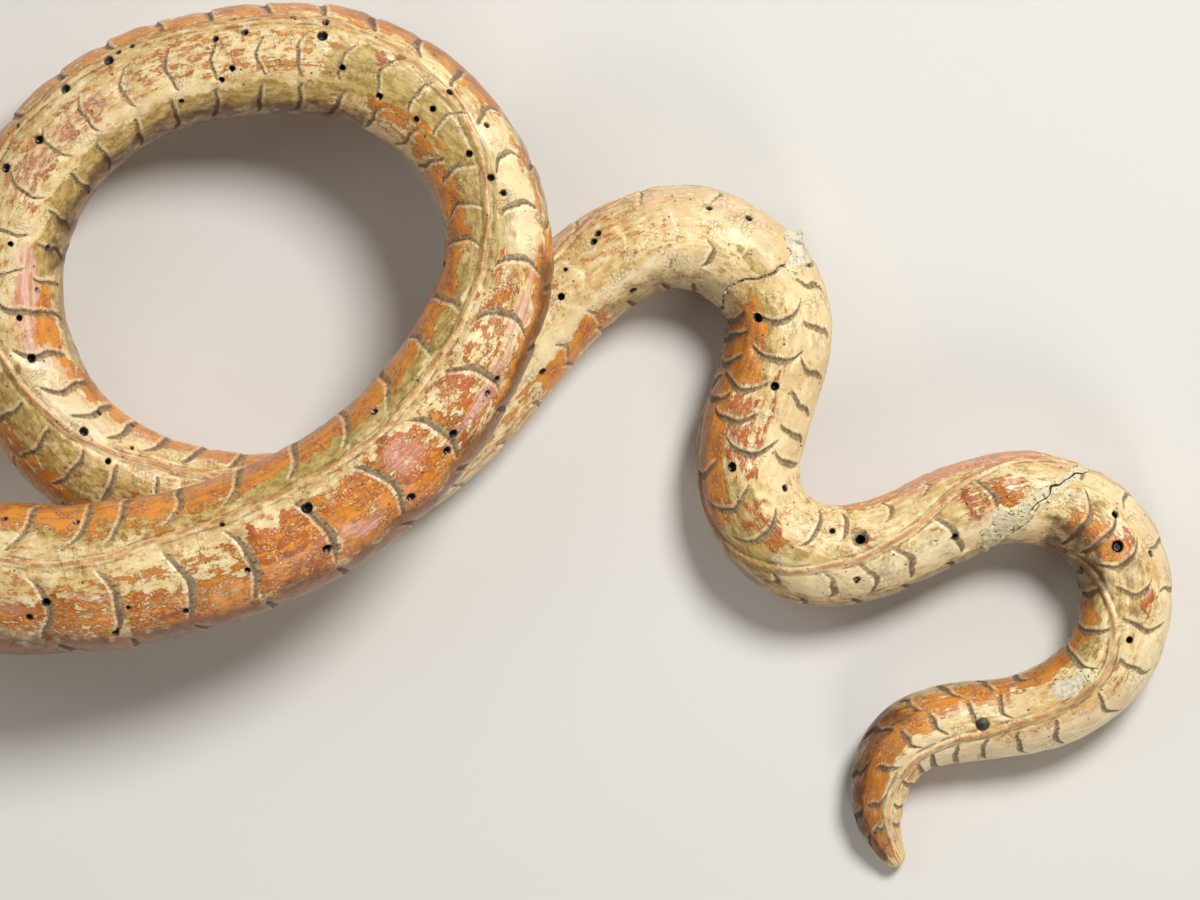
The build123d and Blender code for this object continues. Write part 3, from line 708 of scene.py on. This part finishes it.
class Web:
    """Short calls that build one material's node tree."""

    def __init__(self, name):
        self.material = bpy.data.materials.new(name)
        self.material.use_nodes = True
        self.tree = self.material.node_tree
        self.tree.nodes.clear()
        self.colour = None

    def node(self, kind, settings=None, **inputs):
        made = self.tree.nodes.new("ShaderNode" + kind)
        for key, value in (settings or {}).items():
            setattr(made, key, value)
        for key, value in inputs.items():
            self.set(made.inputs[key.replace("_", " ")], value)
        return made

    def set(self, socket, value):
        if isinstance(value, bpy.types.NodeSocket):
            self.tree.links.new(value, socket)
        else:
            socket.default_value = value

    def math(self, operation, a, b=0.0, clamp=False):
        made = self.node("Math", {"operation": operation, "use_clamp": clamp})
        self.set(made.inputs[0], a)
        self.set(made.inputs[1], b)
        return made.outputs[0]

    def times(self, a, b):
        return self.math("MULTIPLY", a, b)

    def span(self, kind, value, *ends):
        """Map range of a kind, from low and high to low and high."""
        made = self.node("MapRange", {"interpolation_type": kind}, Value=value)
        for name, amount in zip(("From Min", "From Max", "To Min", "To Max"), ends):
            made.inputs[name].default_value = amount
        return made.outputs[0]

    def step(self, value, low, high, out_low=0.0, out_high=1.0):
        return self.span("SMOOTHSTEP", value, low, high, out_low, out_high)

    def mix(self, share, a, b):
        made = self.node("Mix", {"data_type": "RGBA"})
        self.set(made.inputs[0], share)
        self.set(made.inputs[6], rgb(a) if isinstance(a, str) else a)
        self.set(made.inputs[7], rgb(b) if isinstance(b, str) else b)
        return made.outputs[2]

    def tint(self, colour, mask, strength, tone):
        """A colour with a tone over it where the mask is, at most as strong as given."""
        return self.mix(self.times(mask, strength), colour, tone)

    def lay(self, mask, strength, tone):
        """Lays a tone over the material's colour so far."""
        self.colour = self.tint(self.colour, mask, strength, tone)

    def cover(self, mask, tone):
        self.colour = self.mix(mask, self.colour, tone)

    def noise(self, vector, scale, detail=4.0, rough=0.6):
        return self.node("TexNoise", Vector=vector, Scale=scale, Detail=detail, Roughness=rough).outputs[0]

    def field(self, vector, scale, detail=4.0, rough=0.6):
        """Noise stretched to run from about -0.5 to 0.5."""
        return self.span("LINEAR", self.noise(vector, scale, detail, rough), 0.3, 0.7, -0.5, 0.5)

    def cells(self, vector, scale, feature="F1"):
        return self.node("TexVoronoi", {"feature": feature}, Vector=vector, Scale=scale).outputs["Distance"]

    def moved(self, vector, scale, shift=(0.0, 0.0, 0.0)):
        return self.node("Mapping", Vector=vector, Scale=scale, Location=shift).outputs[0]

    def attribute(self, name):
        made = self.node("Attribute", {"attribute_name": name})
        parts = self.node("SeparateColor", Color=made.outputs["Color"])
        return [parts.outputs[0], parts.outputs[1], parts.outputs[2], made.outputs["Alpha"]]

    def finish(self, rough, heights, **more):
        """Closes the tree: bumps as (height, distance in mm), and plain values in more."""
        normal = None
        for height, distance in heights:
            bump_node = self.node("Bump", Height=height, Distance=distance * MM, Strength=1.0)
            if normal is not None:
                self.set(bump_node.inputs["Normal"], normal)
            normal = bump_node.outputs[0]
        shader = self.node("BsdfPrincipled", Base_Color=self.colour, Roughness=rough)
        if normal is not None:
            self.set(shader.inputs["Normal"], normal)
        for key, value in more.items():
            self.set(shader.inputs[key.replace("_", " ")], value)
        out = self.node("OutputMaterial", Surface=shader.outputs[0])
        out.is_active_output = True
        return self.material


def gilded():
    """Worn gilding, olive gold, orange glaze and red ground over cracked gesso."""
    w = Web("gilded_wood")
    coords = w.node("TexCoord")
    place = coords.outputs["Object"]
    flow = coords.outputs["UV"]
    orange, olive, pink_highlight, red = w.attribute("coat")
    groove, rim, hole, cream_and_highlight = w.attribute("marks")
    dirt_and_shade, cord, beside, edge = w.attribute("grime_and_shade")

    def flowing(along, across, detail=4.0, rough=0.6, shift=(0.0, 0.0, 0.0)):
        """Noise field that runs along the body, so many per metre each way."""
        return w.field(w.moved(flow, (along, across, 1.0), shift), 1.0, detail, rough)

    soft = w.field(place, 75.0, 3.0)
    mid = w.field(place, 250.0, 4.0)
    grain = w.field(place, 2600.0, 3.0)
    flake = flowing(300.0, 620.0, 6.0, 0.72)
    specks = flowing(900.0, 1500.0, rough=0.7, shift=(0.7, 0.2, 0.0))
    streaks = flowing(60.0, 950.0)
    bands = flowing(34.0, 230.0, shift=(3.1, 1.7, 0.0))

    def patch(level, *parts, low=0.42, high=0.58, least=0.06):
        """Ragged patch: the painted level broken up by fields of given strength."""
        total = level
        for field, strength in parts:
            total = w.math("ADD", total, w.times(field, strength))
        return w.times(w.step(total, low, high), w.step(level, least, least + 0.14))

    # the worn cream gold, mottled brown where it is thin
    w.colour = w.mix(w.step(soft, -0.2, 0.25), "EBD49B", "DABA7C")
    w.lay(w.step(flake, 0.02, 0.22), 0.62, "BF8C4E")
    w.lay(w.step(flake, -0.1, -0.3), 0.65, "F5EAC8")
    speckled = w.times(w.step(specks, 0.12, 0.28), w.step(w.field(place, 60.0, 3.0), -0.2, 0.3))
    w.lay(speckled, 0.75, "7F5B33")
    # spots of the red ground wherever the gold has rubbed through
    rubbed = w.times(w.step(mid, 0.12, 0.3), w.step(flake, -0.02, 0.12))
    w.lay(rubbed, 0.75, "B86433")
    # olive gold
    olive_mask = patch(olive, (mid, 0.45), (flake, 0.35), low=0.28, high=0.55)
    olive_tone = w.mix(w.step(flake, -0.2, 0.2), "C2A75E", "9A7E3C")
    w.lay(olive_mask, 0.82, olive_tone)
    # red ground in ragged patches
    red_mask = patch(red, (flake, 1.1), (mid, 0.6))
    red_tone = w.mix(w.step(soft, -0.2, 0.2), "C05C22", "9C4818")
    red_tone = w.tint(red_tone, w.step(streaks, 0.0, 0.3), 0.3, "D98A50")
    w.lay(red_mask, 0.95, red_tone)
    # orange glaze in streaks along the body
    orange_mask = patch(orange, (bands, 0.42), (flake, 0.7), low=0.3, high=0.55, least=0.03)
    orange_tone = w.mix(w.step(w.math("ADD", mid, w.times(streaks, 0.5)), -0.4, 0.3), "B65812", "E6942C")
    orange_tone = w.tint(orange_tone, w.step(bands, 0.0, 0.4), 0.35, "9E4A12")
    orange_tone = w.tint(orange_tone, w.step(flake, 0.12, 0.3), 0.5, "E6A448")
    w.lay(orange_mask, 0.93, orange_tone)
    # thin brown line where the glaze has worn away to an edge
    worn_edge = w.times(w.step(orange_mask, 0.05, 0.35), w.step(orange_mask, 0.95, 0.6))
    w.lay(worn_edge, 0.6, "94521E")
    # flakes of gold left on the red and orange
    coated = w.math("MAXIMUM", red_mask, w.times(orange_mask, 0.55))
    chips = flowing(1350.0, 2250.0, rough=0.7, shift=(0.3, 0.9, 0.0))
    flakes = w.times(w.step(chips, -0.08, -0.2), w.step(mid, 0.12, -0.1))
    w.lay(w.times(flakes, coated), 0.85, "EBD596")
    # painted highlights: pink sheen over some of the coat's own pink, and bright cream with painted light
    pink_highlight_mask = patch(pink_highlight, (flake, 0.5), (streaks, 0.35), low=0.35, high=0.75)
    pink_highlight_tone = w.mix(w.step(streaks, -0.2, 0.2), "E7BDB4", "CF8A6C")
    w.lay(pink_highlight_mask, 0.75, pink_highlight_tone)
    cream_and_highlight_mask = patch(cream_and_highlight, (flake, 1.3), (mid, 0.5), low=0.3, high=0.85)
    w.lay(cream_and_highlight_mask, 0.5, "F9EBC4")
    # the cord along the side, and painted shadow lines beside it
    cord_tone = w.mix(w.step(mid, -0.15, 0.2), "B5713F", "DDB47C")
    w.lay(w.step(cord, 0.35, 0.85), 0.8, cord_tone)
    cord_shadow_mask = w.times(w.step(beside, 0.4, 0.95), w.step(mid, -0.3, 0.2))
    w.lay(cord_shadow_mask, 0.7, "6E5430")
    # cracks through the gesso, mostly across the body
    bent = w.node("VectorMath", {"operation": "ADD"})
    w.set(bent.inputs[0], w.moved(flow, (1150.0, 520.0, 1.0)))
    w.set(bent.inputs[1], w.node("TexNoise", Vector=place, Scale=800.0, Detail=3.0).outputs["Color"])
    crack = w.step(w.cells(bent.outputs[0], 1.0, "DISTANCE_TO_EDGE"), 0.08, 0.01)
    crack = w.times(crack, w.step(w.field(place, 170.0, 3.0), 0.0, 0.4))
    w.lay(crack, 0.42, "6A4A28")
    # pits
    pits = w.step(w.cells(place, 480.0), 0.17, 0.09)
    pits = w.times(pits, w.step(w.field(place, 230.0, 2.0), 0.05, 0.25))
    w.lay(pits, 0.85, "46301F")
    # scale cuts: painted highlight along the edge, then grey-brown dirt lying in the groove, darker where
    # dirt and painted shade lie
    rim_highlight_mask = w.times(w.step(rim, 0.3, 0.8), w.step(specks, 0.3, -0.1))
    w.lay(rim_highlight_mask, 0.55, "F6E8C0")
    groove_mask = patch(groove, (flake, 0.25), (mid, 0.3), low=0.3, high=0.55)
    groove_tone = w.mix(w.step(flake, -0.15, 0.2), "8A7458", "B39A6A")
    groove_dark = w.math("MAXIMUM", w.step(specks, 0.04, 0.2), w.times(w.step(groove, 0.72, 1.0), 0.7))
    groove_dark = w.math("MAXIMUM", groove_dark, dirt_and_shade)
    groove_tone = w.tint(groove_tone, groove_dark, 0.85, "3F3024")
    w.lay(groove_mask, 0.92, groove_tone)
    # dirt with painted shade, chipped edges at the joints, then the holes, filled near-black as painted
    # shade of the bores over their dark inside
    dirt_and_shade_mask = w.times(dirt_and_shade, w.step(mid, -0.5, 0.3, 0.55, 1.0))
    w.lay(dirt_and_shade_mask, 0.92, "4C2A0C")
    w.cover(w.times(w.step(edge, 0.35, 0.8), w.step(specks, -0.3, 0.1)), "4A3C2E")
    w.cover(w.step(hole, 0.3, 0.62), "0B0907")

    rough = w.step(w.math("MAXIMUM", orange_mask, pink_highlight_mask), 0.0, 1.0, 0.46, 0.3)
    rough = w.math("ADD", rough, w.times(flake, 0.22))
    rough = w.math("ADD", rough, w.times(groove_mask, 0.35), clamp=True)
    coats = w.math("SUBTRACT", w.times(orange_mask, -0.3), w.times(red_mask, 0.5))
    skin_height = w.math("ADD", coats, w.times(flake, 0.5))
    cuts = w.math("ADD", w.times(crack, -0.8), w.times(pits, -1.5))
    heights = [(mid, 0.14), (skin_height, 0.13), (cuts, 0.12), (grain, 0.02)]
    gloss = {"Specular_IOR_Level": 0.5, "IOR": 1.5, "Coat_Weight": 0.2, "Coat_Roughness": 0.28}
    return w.finish(rough, heights, **gloss)


def filler():
    """Grey-white chalk filler: granular, stained, with dark cracks."""
    w = Web("filler")
    place = w.node("TexCoord").outputs["Object"]
    dark, stain, _, _ = w.attribute("marks")
    mid = w.noise(place, 420.0, 5.0, 0.65)
    fine = w.noise(place, 1500.0, 4.0, 0.7)
    w.colour = w.mix(w.step(mid, 0.4, 0.6), "EAE2CE", "D2C8AC")
    w.cover(w.times(stain, w.step(fine, 0.42, 0.5)), "CABE94")
    stain_level = w.math("ADD", stain, w.times(w.math("SUBTRACT", mid, 0.5), 2.2))
    w.cover(w.step(stain_level, 0.5, 0.7), "ECDDB0")
    w.lay(w.step(fine, 0.55, 0.66), 0.7, "A0957A")
    w.lay(w.step(fine, 0.42, 0.34), 0.7, "F0EAD4")
    grains = w.times(w.step(w.cells(place, 900.0), 0.3, 0.2), w.step(mid, 0.5, 0.58))
    w.lay(grains, 0.8, "463B2C")
    crack = w.step(w.cells(place, 260.0, "DISTANCE_TO_EDGE"), 0.05, 0.01)
    crack = w.times(crack, w.step(mid, 0.5, 0.6))
    w.lay(crack, 0.7, "3E362C")
    dark_level = w.math("ADD", dark, w.times(w.math("SUBTRACT", mid, 0.5), 1.4))
    w.cover(w.step(dark_level, 0.4, 0.75), "3A3129")
    heights = [(mid, 0.6), (fine, 0.16), (w.times(w.math("MAXIMUM", crack, grains), -1.0), 0.25)]
    return w.finish(0.85, heights, Specular_IOR_Level=0.25)


def iron():
    """Dark oxidised iron with rust and pale grey flecks."""
    w = Web("iron")
    place = w.node("TexCoord").outputs["Object"]
    mid = w.noise(place, 900.0, 5.0, 0.65)
    fine = w.noise(place, 3000.0, 4.0, 0.6)
    w.colour = w.mix(w.step(mid, 0.4, 0.6), "3A3836", "55504A")
    w.lay(w.step(mid, 0.55, 0.68), 0.7, "6B3F28")
    w.lay(w.step(fine, 0.6, 0.7), 0.6, "8E8A84")
    rough = w.step(mid, 0.3, 0.7, 0.35, 0.65)
    return w.finish(rough, [(mid, 0.2), (fine, 0.05)], Metallic=0.75, Specular_IOR_Level=0.5)


def bare_wood():
    """Plain turned hardwood: stretched grain in two tones and darker ring marks."""
    w = Web("bare_wood")
    place = w.node("TexCoord").outputs["Object"]
    grain = w.noise(w.moved(place, (260.0, 900.0, 1500.0)), 1.0, 5.0, 0.6)
    rings = w.noise(place, 500.0, 3.0, 0.5)
    w.colour = w.mix(w.step(grain, 0.38, 0.62), "B08A5C", "8F6A42")
    w.lay(w.step(rings, 0.55, 0.65), 0.5, "6E4C2C")
    return w.finish(w.step(grain, 0.3, 0.7, 0.55, 0.75), [(grain, 0.08)], Specular_IOR_Level=0.35)


def painted(name, base, second, rough, scale):
    """Small painted parts: two close tones in patches, with a fine uneven skin."""
    w = Web(name)
    place = w.node("TexCoord").outputs["Object"]
    mid = w.noise(place, scale, 4.0, 0.6)
    fine = w.noise(place, scale * 4, 3.0, 0.6)
    w.colour = w.mix(w.step(mid, 0.42, 0.6), base, second)
    rougher = w.step(fine, 0.3, 0.7, rough, rough + 0.12)
    gloss = {"Specular_IOR_Level": 0.5, "Coat_Weight": 0.4, "Coat_Roughness": 0.12}
    return w.finish(rougher, [(mid, 0.05), (fine, 0.02)], **gloss)


GILDED = gilded()
FILLER = filler()
IRON = iron()
BARE = bare_wood()
EYE = painted("eye_paint", "120C0A", "2A1710", 0.12, 900.0)

# --- The carved lengths --------------------------------------------------------------------

HUMP_LINE = hump_crack(ANGLES)
HUMP_GAP = 0.15  # half the width of the open crack, mm
CREST_GAP = np.interp(np.abs(turn(ANGLES - 130.0)), [0, 25, 60, 90, 140], [2.4, 2.2, 1.3, 0.7, 0.7])
carved("neck_section", 0.0, 78.0)
carved("coil_front_section", 78.0, 220.0)
carved("coil_top_section", 220.0, 372.0)
carved("coil_side_section", 372.0, 488.0)
carved("coil_rear_section", 488.0, HUMP_LINE - HUMP_GAP, (False, True))
carved("tail_wave_section", HUMP_LINE + HUMP_GAP, crest_cut(ANGLES, -CREST_GAP), (True, True))
carved("tail_bend_section", crest_cut(ANGLES, CREST_GAP), TAIL_JOINT, (True, False))
carved("tail_end_section", TAIL_JOINT, TIP, tip=True)


# --- Fillers in the opened joints ----------------------------------------------------------

def filler_attributes(s, dark, stain):
    zero = np.zeros_like(s)
    return {"marks": np.stack([zero + dark, zero + stain, zero, zero], -1)}


def band(name, start, end, height_of, dark, stain):
    """Ring of filler between two lines round the body."""
    s, angle = grid(start, end)
    base, out = skin(s, angle)
    share = np.linspace(0, 1, s.shape[0])[:, None] * np.ones_like(s)
    height = height_of(share, s, angle)
    points = rest_flat(base + out * height[..., None], s)
    edge = stain + (1.0 - stain) * np.abs(2 * share - 1) ** 3 if stain else 0.0
    return build(name, points, filler_attributes(s, dark(share, s, angle), edge))


def blob(
    name, s_middle, angle_middle, half_s, half_angle, thick, stain, rim, knobs=(), dark=0.0, fade=False,
):
    """Irregular daub of filler smeared over the skin, closed underneath."""
    columns = 96
    turnings = np.arange(columns) * 2 * np.pi / columns
    outline = 1 + 0.16 * np.sin(2 * turnings + 0.7) + 0.11 * np.sin(3 * turnings + s_middle)
    outline = outline + 0.07 * np.sin(7 * turnings) + 0.05 * np.sin(12 * turnings + 1.0)
    top = np.linspace(0.03, 1.0, 30)
    reach = np.concatenate([top, top[::-6]])[:, None]
    under = np.arange(len(reach))[:, None] >= len(top)
    s = s_middle + reach * outline * half_s * np.cos(turnings)
    angle = angle_middle + reach * outline * half_angle * np.sin(turnings)
    base, out = skin(s, angle)
    rough = 0.55 * wander(s, angle, CHIPS) + 0.4 * wander(s, angle, FINE)
    height = thick * (1 + 0.45 * rough) * (1 - reach**5) - 0.5 * reach**5
    for at, knob_angle, tall, wide in knobs:
        centre, _ = skin(at, knob_angle)
        away = np.linalg.norm(base - centre, axis=-1)
        height = height + tall * bump(away, wide) * (1 + 0.12 * rough)
    height = np.where(under, -1.2, height)
    points = base + out * height[..., None]
    shade = dark + rim * smooth(reach, 0.85, 1.0)
    blend = stain + (0.9 - stain) * smooth(reach, 0.6, 1.0) * fade
    return build(name, points, filler_attributes(s, shade, blend))


def join(name, parts, node, material):
    """Makes one piece of several meshes and puts it in a CAD node's place."""
    for part in parts:
        part.select_set(True)
    bpy.context.view_layer.objects.active = parts[0]
    if len(parts) > 1:
        bpy.ops.object.join()
    made = parts[0]
    made.select_set(False)
    made.name = name
    made.data.name = name
    stand_for(made, node, material)


for thing in bpy.context.selected_objects:
    thing.select_set(False)

crack_ring = band(
    "hump_ring", HUMP_LINE - 0.7, HUMP_LINE + 0.7,
    lambda share, s, angle: -0.5 + 0.15 * wander(s, angle, CHIPS), lambda share, s, angle: 0.57, 0.0,
)
hump_daub = blob(
    "hump_daub", 633.9, 28.0, 3.1, 33.0, 0.42,
    knobs=[(632.9, 5, 2.3, 1.35), (635.4, 7, 1.0, 1.3), (634.2, 24, 0.4, 2.2)], stain=0.0, rim=0.45,
)
small_daub = blob("hump_small_daub", 636.6, 58.0, 1.5, 12.0, 0.2, stain=0.8, rim=0.3)
join("hump_fill", [crack_ring, hump_daub, small_daub], "hump_fill", FILLER)


def crest_height(share, s, angle):
    rise = 1 - np.abs(2 * share - 1) ** 4
    return -0.5 + 0.56 * rise + 0.16 * wander(s, angle, CHIPS) * rise + 0.08 * wander(s, angle, FINE)


def crest_crack(share, s, angle):
    """Dark level of the thin crack that runs slantwise over the crest's filler."""
    places = [0, 30, 60, 90, 120, 150, 180, 340, 360]
    distances = [769.5, 768, 764.5, 761, 757.5, 750.5, 748, 769.5, 769.5]
    line = np.interp(angle % 360, places, distances) * DRAWN + 0.5 * wander(s, angle, FINE)
    strength = np.interp(angle % 360, [0, 95, 120, 340, 360], [1.0, 1.0, 0.5, 0.5, 1.0])
    return 0.06 + strength * bump(s - line, 0.26) * smooth(wander(s, angle, PATCHY), -1.3, 0.1)


spread = 0.5 + 0.35 * np.sin(np.radians(3 * ANGLES + 40)) + 0.25 * np.sin(np.radians(7 * ANGLES))
crest_from = crest_cut(ANGLES, -CREST_GAP - 0.3) - spread
crest_to = crest_cut(ANGLES, CREST_GAP + 0.3) + 0.7 * spread
crest_ring = band("crest_ring", crest_from, crest_to, crest_height, crest_crack, 0.55)
smear_at = float(crest_cut(118.0, -1.5)[0])
crest_smear = blob("crest_smear", smear_at, 118.0, 3.4, 20.0, 0.18, stain=0.45, rim=0.2, fade=True)
join("crest_fill", [crest_ring, crest_smear], "crest_fill", FILLER)

tail_daub = blob("tail_daub", 821.8, 104.0, 5.6, 18.0, 0.16, dark=0.3, stain=0.35, rim=0.1, fade=True)
tail_small = blob("tail_small", 816.6, 96.0, 2.6, 8.0, 0.14, dark=0.05, stain=0.6, rim=0.1, fade=True)
join("tail_fill", [tail_daub, tail_small], "tail_fill", FILLER)


# --- Turned pieces: the iron pin and the eyes ----------------------------------------------

def turned(name, profile, centre, axis, dents=0.0):
    """Solid of revolution: profile holds (radius, height) pairs from its underside up."""
    columns = 48
    axis = np.array(axis, float)
    side = np.cross(axis, [0.31, 0.95, 0.0])
    side /= np.linalg.norm(side)
    other = np.cross(axis, side)
    around = np.arange(columns) * 2 * np.pi / columns
    rows = []
    for k, (radius, height) in enumerate(profile):
        wobble = 1 + dents * np.sin(3 * around + k) + 0.6 * dents * np.sin(5 * around + 2.0 * k)
        ring = np.cos(around)[:, None] * side + np.sin(around)[:, None] * other
        rows.append(centre + axis * height + ring * (radius * wobble)[:, None])
    return build(name, np.stack(rows), {})


pin_top = [(1.05, 0.22), (0.6, 0.32), (0.1, 0.34)]
pin_shape = [(1.3, -13.0), (1.55, -12.6), (1.55, -4.0), (1.55, -0.15), (1.45, 0.02), (1.3, 0.12)] + pin_top
iron_pin = turned("iron_pin_visual", pin_shape, LAYOUT + [*PIN_AT, 18.15], (0, 0, 1), 0.035)
join("iron_pin_head", [iron_pin], "iron_pin", IRON)

# --- The head ------------------------------------------------------------------------------
# Distance from the neck, half width, half height, rise of the middle.

HEAD = np.array([
    (0.0, 13.25, 13.25, 0.0),
    (9.0, 14.2, 13.0, -0.1),
    (18.0, 17.0, 12.8, -0.3),
    (27.0, 19.6, 12.4, -0.8),
    (36.0, 20.0, 11.8, -1.4),
    (46.0, 17.6, 10.6, -2.4),
    (55.0, 14.0, 9.0, -3.7),
    (63.0, 11.0, 7.4, -5.0),
    (68.5, 8.0, 5.6, -6.1),
    (71.5, 5.0, 3.8, -6.8),
    (73.0, 2.2, 1.7, -7.2),
])
HEAD_BENDS = [bend_of(HEAD[:, 0], HEAD[:, column]) for column in range(4)]
EYE_AT = (12.9, 3.2, 43.0)
NOSTRIL_AT = (5.8, -1.3, 67.0)


def read_head(column, reach):
    return spline(HEAD[:, 0], HEAD[:, column], HEAD_BENDS[column], reach)


def carve_head():
    reach = np.linspace(73.0, 0.0, int(73 / STEP) + 1)[:, None] * np.ones(AROUND)
    angle = np.broadcast_to(ANGLES, reach.shape).copy()
    forward, left, over = axes(0.0)
    wide, tall, rise = (read_head(column, reach) for column in (1, 2, 3))
    a = np.radians(angle)
    x, y = wide * np.cos(a), tall * np.sin(a) + rise
    slope = np.stack([np.cos(a) / wide, np.sin(a) / tall], -1)
    slope /= np.linalg.norm(slope, axis=-1, keepdims=True)
    s = -reach
    height, groove, rim, on_cord, beside = relief(s, angle, (wide + tall) / 2, np.ones_like(s))
    behind_eyes = 1 - smooth(reach, 26, 34)
    height *= 0.25 + 0.75 * behind_eyes
    groove, rim = groove * behind_eyes, rim * behind_eyes
    on_cord, beside = on_cord * 0, beside * 0
    span = np.abs(x)
    # brow over each eye, running on as a ridge down the snout
    brow_line = np.abs(angle - 90) - 44 + 0.5 * (reach - 42)
    brow = bump(brow_line, 11) * smooth(reach, 27, 37) * (1 - smooth(reach, 52, 62))
    height += 1.7 * brow
    height -= 0.7 * bump(x, 5.0) * (y > rise) * smooth(reach, 30, 42) * (1 - smooth(reach, 58, 68))
    # eyelids round a sunk seat for each eye
    away = np.sqrt((span - EYE_AT[0] - 1.6) ** 2 + (y - EYE_AT[1] - 0.9) ** 2 + (reach - EYE_AT[2]) ** 2)
    height += 1.0 * bump(away - 4.9, 0.95) - 1.5 * (1 - smooth(away, 3.3, 4.1))
    lid_line = bump(away - 6.2, 0.45)
    height -= 0.3 * lid_line
    # mouth line with lips
    mouth_y = -2.4 - np.tan(np.radians(7.0)) * (reach - 20) + 1.1 * bump(reach - 22, 6.0)
    gap = y - mouth_y
    lips = smooth(reach, 19, 25) * (np.sin(a) < 0.55)
    height += lips * (0.55 * bump(gap - 1.5, 1.0) + 0.5 * bump(gap + 1.5, 1.0) - 1.3 * bump(gap, 0.42))
    mouth = lips * bump(gap, 0.55)
    for k, start in enumerate(np.arange(28, 66, 5.2)):
        plate = bump(reach - start - 0.25 * gap, 0.35) * smooth(gap, 1.2, 2.2) * (1 - smooth(gap, 4.6, 5.6))
        height -= 0.3 * lips * plate
        groove = np.maximum(groove, 0.8 * lips * plate)
    hollow = (span - NOSTRIL_AT[0]) ** 2 + (y - NOSTRIL_AT[1] + 0.2) ** 2 + (reach - NOSTRIL_AT[2]) ** 2
    hollow = np.sqrt(hollow)
    height += 0.4 * bump(hollow - 2.1, 0.7) - 1.5 * (1 - smooth(hollow, 1.0, 1.6))
    middle_line = bump(x, 0.5) * (y > rise) * smooth(reach, 30, 36) * (1 - smooth(reach, 60, 66))
    height -= 0.35 * middle_line
    groove = np.maximum(groove, np.maximum(0.7 * middle_line, 0.8 * lid_line))
    fade = 1 - smooth(reach, 69.5, 73)
    height *= fade
    # the mouth line and the nostril pits are darkened through the hole channel: painted shade in these
    # recesses
    dark = np.maximum(mouth, 1 - smooth(hollow, 0.9, 1.5)) * 0.62

    def place(px, py, pr):
        return middle(0.0) - forward * pr[..., None] + left * px[..., None] + over * py[..., None]

    points = place(x + slope[..., 0] * height, y + slope[..., 1] * height, reach)
    snout = []
    for t in CAP[::-1]:
        scale = np.cos(t)
        snout.append(place(x[0] * scale, (y[0] - rise[0]) * scale + rise[0], reach[0] + 1.3 * np.sin(t)))
    points = np.concatenate([np.stack(snout), points])
    points = rest_flat(points, np.zeros(points.shape[:2]))

    s = np.concatenate([s[:1] - CAP_STEPS[::-1] * 0.3, s])
    masks = (angle, lips * bump(gap, 1.6), groove, rim, on_cord, beside, dark)
    angle, red, *masks = [np.pad(values, ((len(CAP), 0), (0, 0)), "edge") for values in masks]
    paints = coat_attributes(s, angle, masks, np.zeros_like(s))
    paints["coat"][..., 3] = np.maximum(paints["coat"][..., 3], red)
    made = build("head_section", points, paints, flow_uvs(s))
    stand_for(made, "head_section", GILDED)
    ball = [(3.3 * np.cos(t), 3.3 * np.sin(t)) for t in np.radians(np.arange(-80, 89, 6))]
    ball = [(r * (1 - 0.05 * bump(h - 2.55, 0.16)), h) for r, h in ball]
    for name, side in (("head_eye_left", 1), ("head_eye_right", -1)):
        centre = place(np.array(side * EYE_AT[0]), np.array(EYE_AT[1] + 0.1), np.array(EYE_AT[2]))
        gaze = left * side * 0.84 + over * 0.5 - forward * 0.2
        eye = turned(name, ball, centre, gaze / np.linalg.norm(gaze))
        eye.data.materials.append(EYE)
        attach(eye, "root")


carve_head()

# --- Hidden dowels and the peg, as in the CAD ----------------------------------------------

for node_name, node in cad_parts.items():
    if node_name.endswith(("dowel", "dowels", "peg")):
        node.data.materials.clear()
        node.data.materials.append(BARE)

# --- Table, light and camera ---------------------------------------------------------------

AIM = np.array([0.049, -0.003, 0.02])


def table_top():
    mesh = bpy.data.meshes.new("floor")
    edge, low = 6.0, -0.0003
    corners = [(-edge, -edge, low), (edge, -edge, low), (edge, edge, low), (-edge, edge, low)]
    mesh.from_pydata(corners, [], [(0, 1, 2, 3)])
    made = bpy.data.objects.new("floor", mesh)
    bpy.context.scene.collection.objects.link(made)
    w = Web("floor")
    w.colour = rgb("D9D8D5")
    mesh.materials.append(w.finish(0.8, [], Specular_IOR_Level=0.2))


def lamp(name, direction, distance, size, power, tint):
    data = bpy.data.lights.new(name, "AREA")
    data.shape = "DISK"
    data.size = size
    data.energy = power
    data.color = tint
    made = bpy.data.objects.new(name, data)
    way = Vector(direction).normalized()
    made.location = Vector(AIM) + way * distance
    made.rotation_mode = "QUATERNION"
    made.rotation_quaternion = way.to_track_quat("Z", "Y")
    bpy.context.scene.collection.objects.link(made)


table_top()
lamp("key", (0.55, 0.75, 1.25), 1.5, 0.5, 23.0, (1.0, 0.975, 0.94))
lamp("fill", (-0.9, 0.5, 1.1), 1.6, 1.0, 3.0, (0.97, 0.98, 1.0))
lamp("low", (0.4, -1.2, 0.7), 1.5, 0.5, 6.0, (1.0, 0.91, 0.82))

world = bpy.data.worlds.new("studio")
world.use_nodes = True
world.node_tree.nodes["Background"].inputs[0].default_value = (0.92, 0.9, 0.87, 1.0)
world.node_tree.nodes["Background"].inputs[1].default_value = 0.16
bpy.context.scene.world = world
bpy.context.scene.view_settings.view_transform = "Standard"

camera_data = bpy.data.cameras.new("camera")
camera_data.sensor_width = 36.0
camera_data.lens = 329.4  # shows 282 mm across at the middle height of the body
camera_data.clip_start, camera_data.clip_end = 0.1, 20.0
camera = bpy.data.objects.new("camera", camera_data)
camera.location = (AIM[0], AIM[1], 2.6)  # straight above, looking down
bpy.context.scene.collection.objects.link(camera)
bpy.context.scene.camera = camera
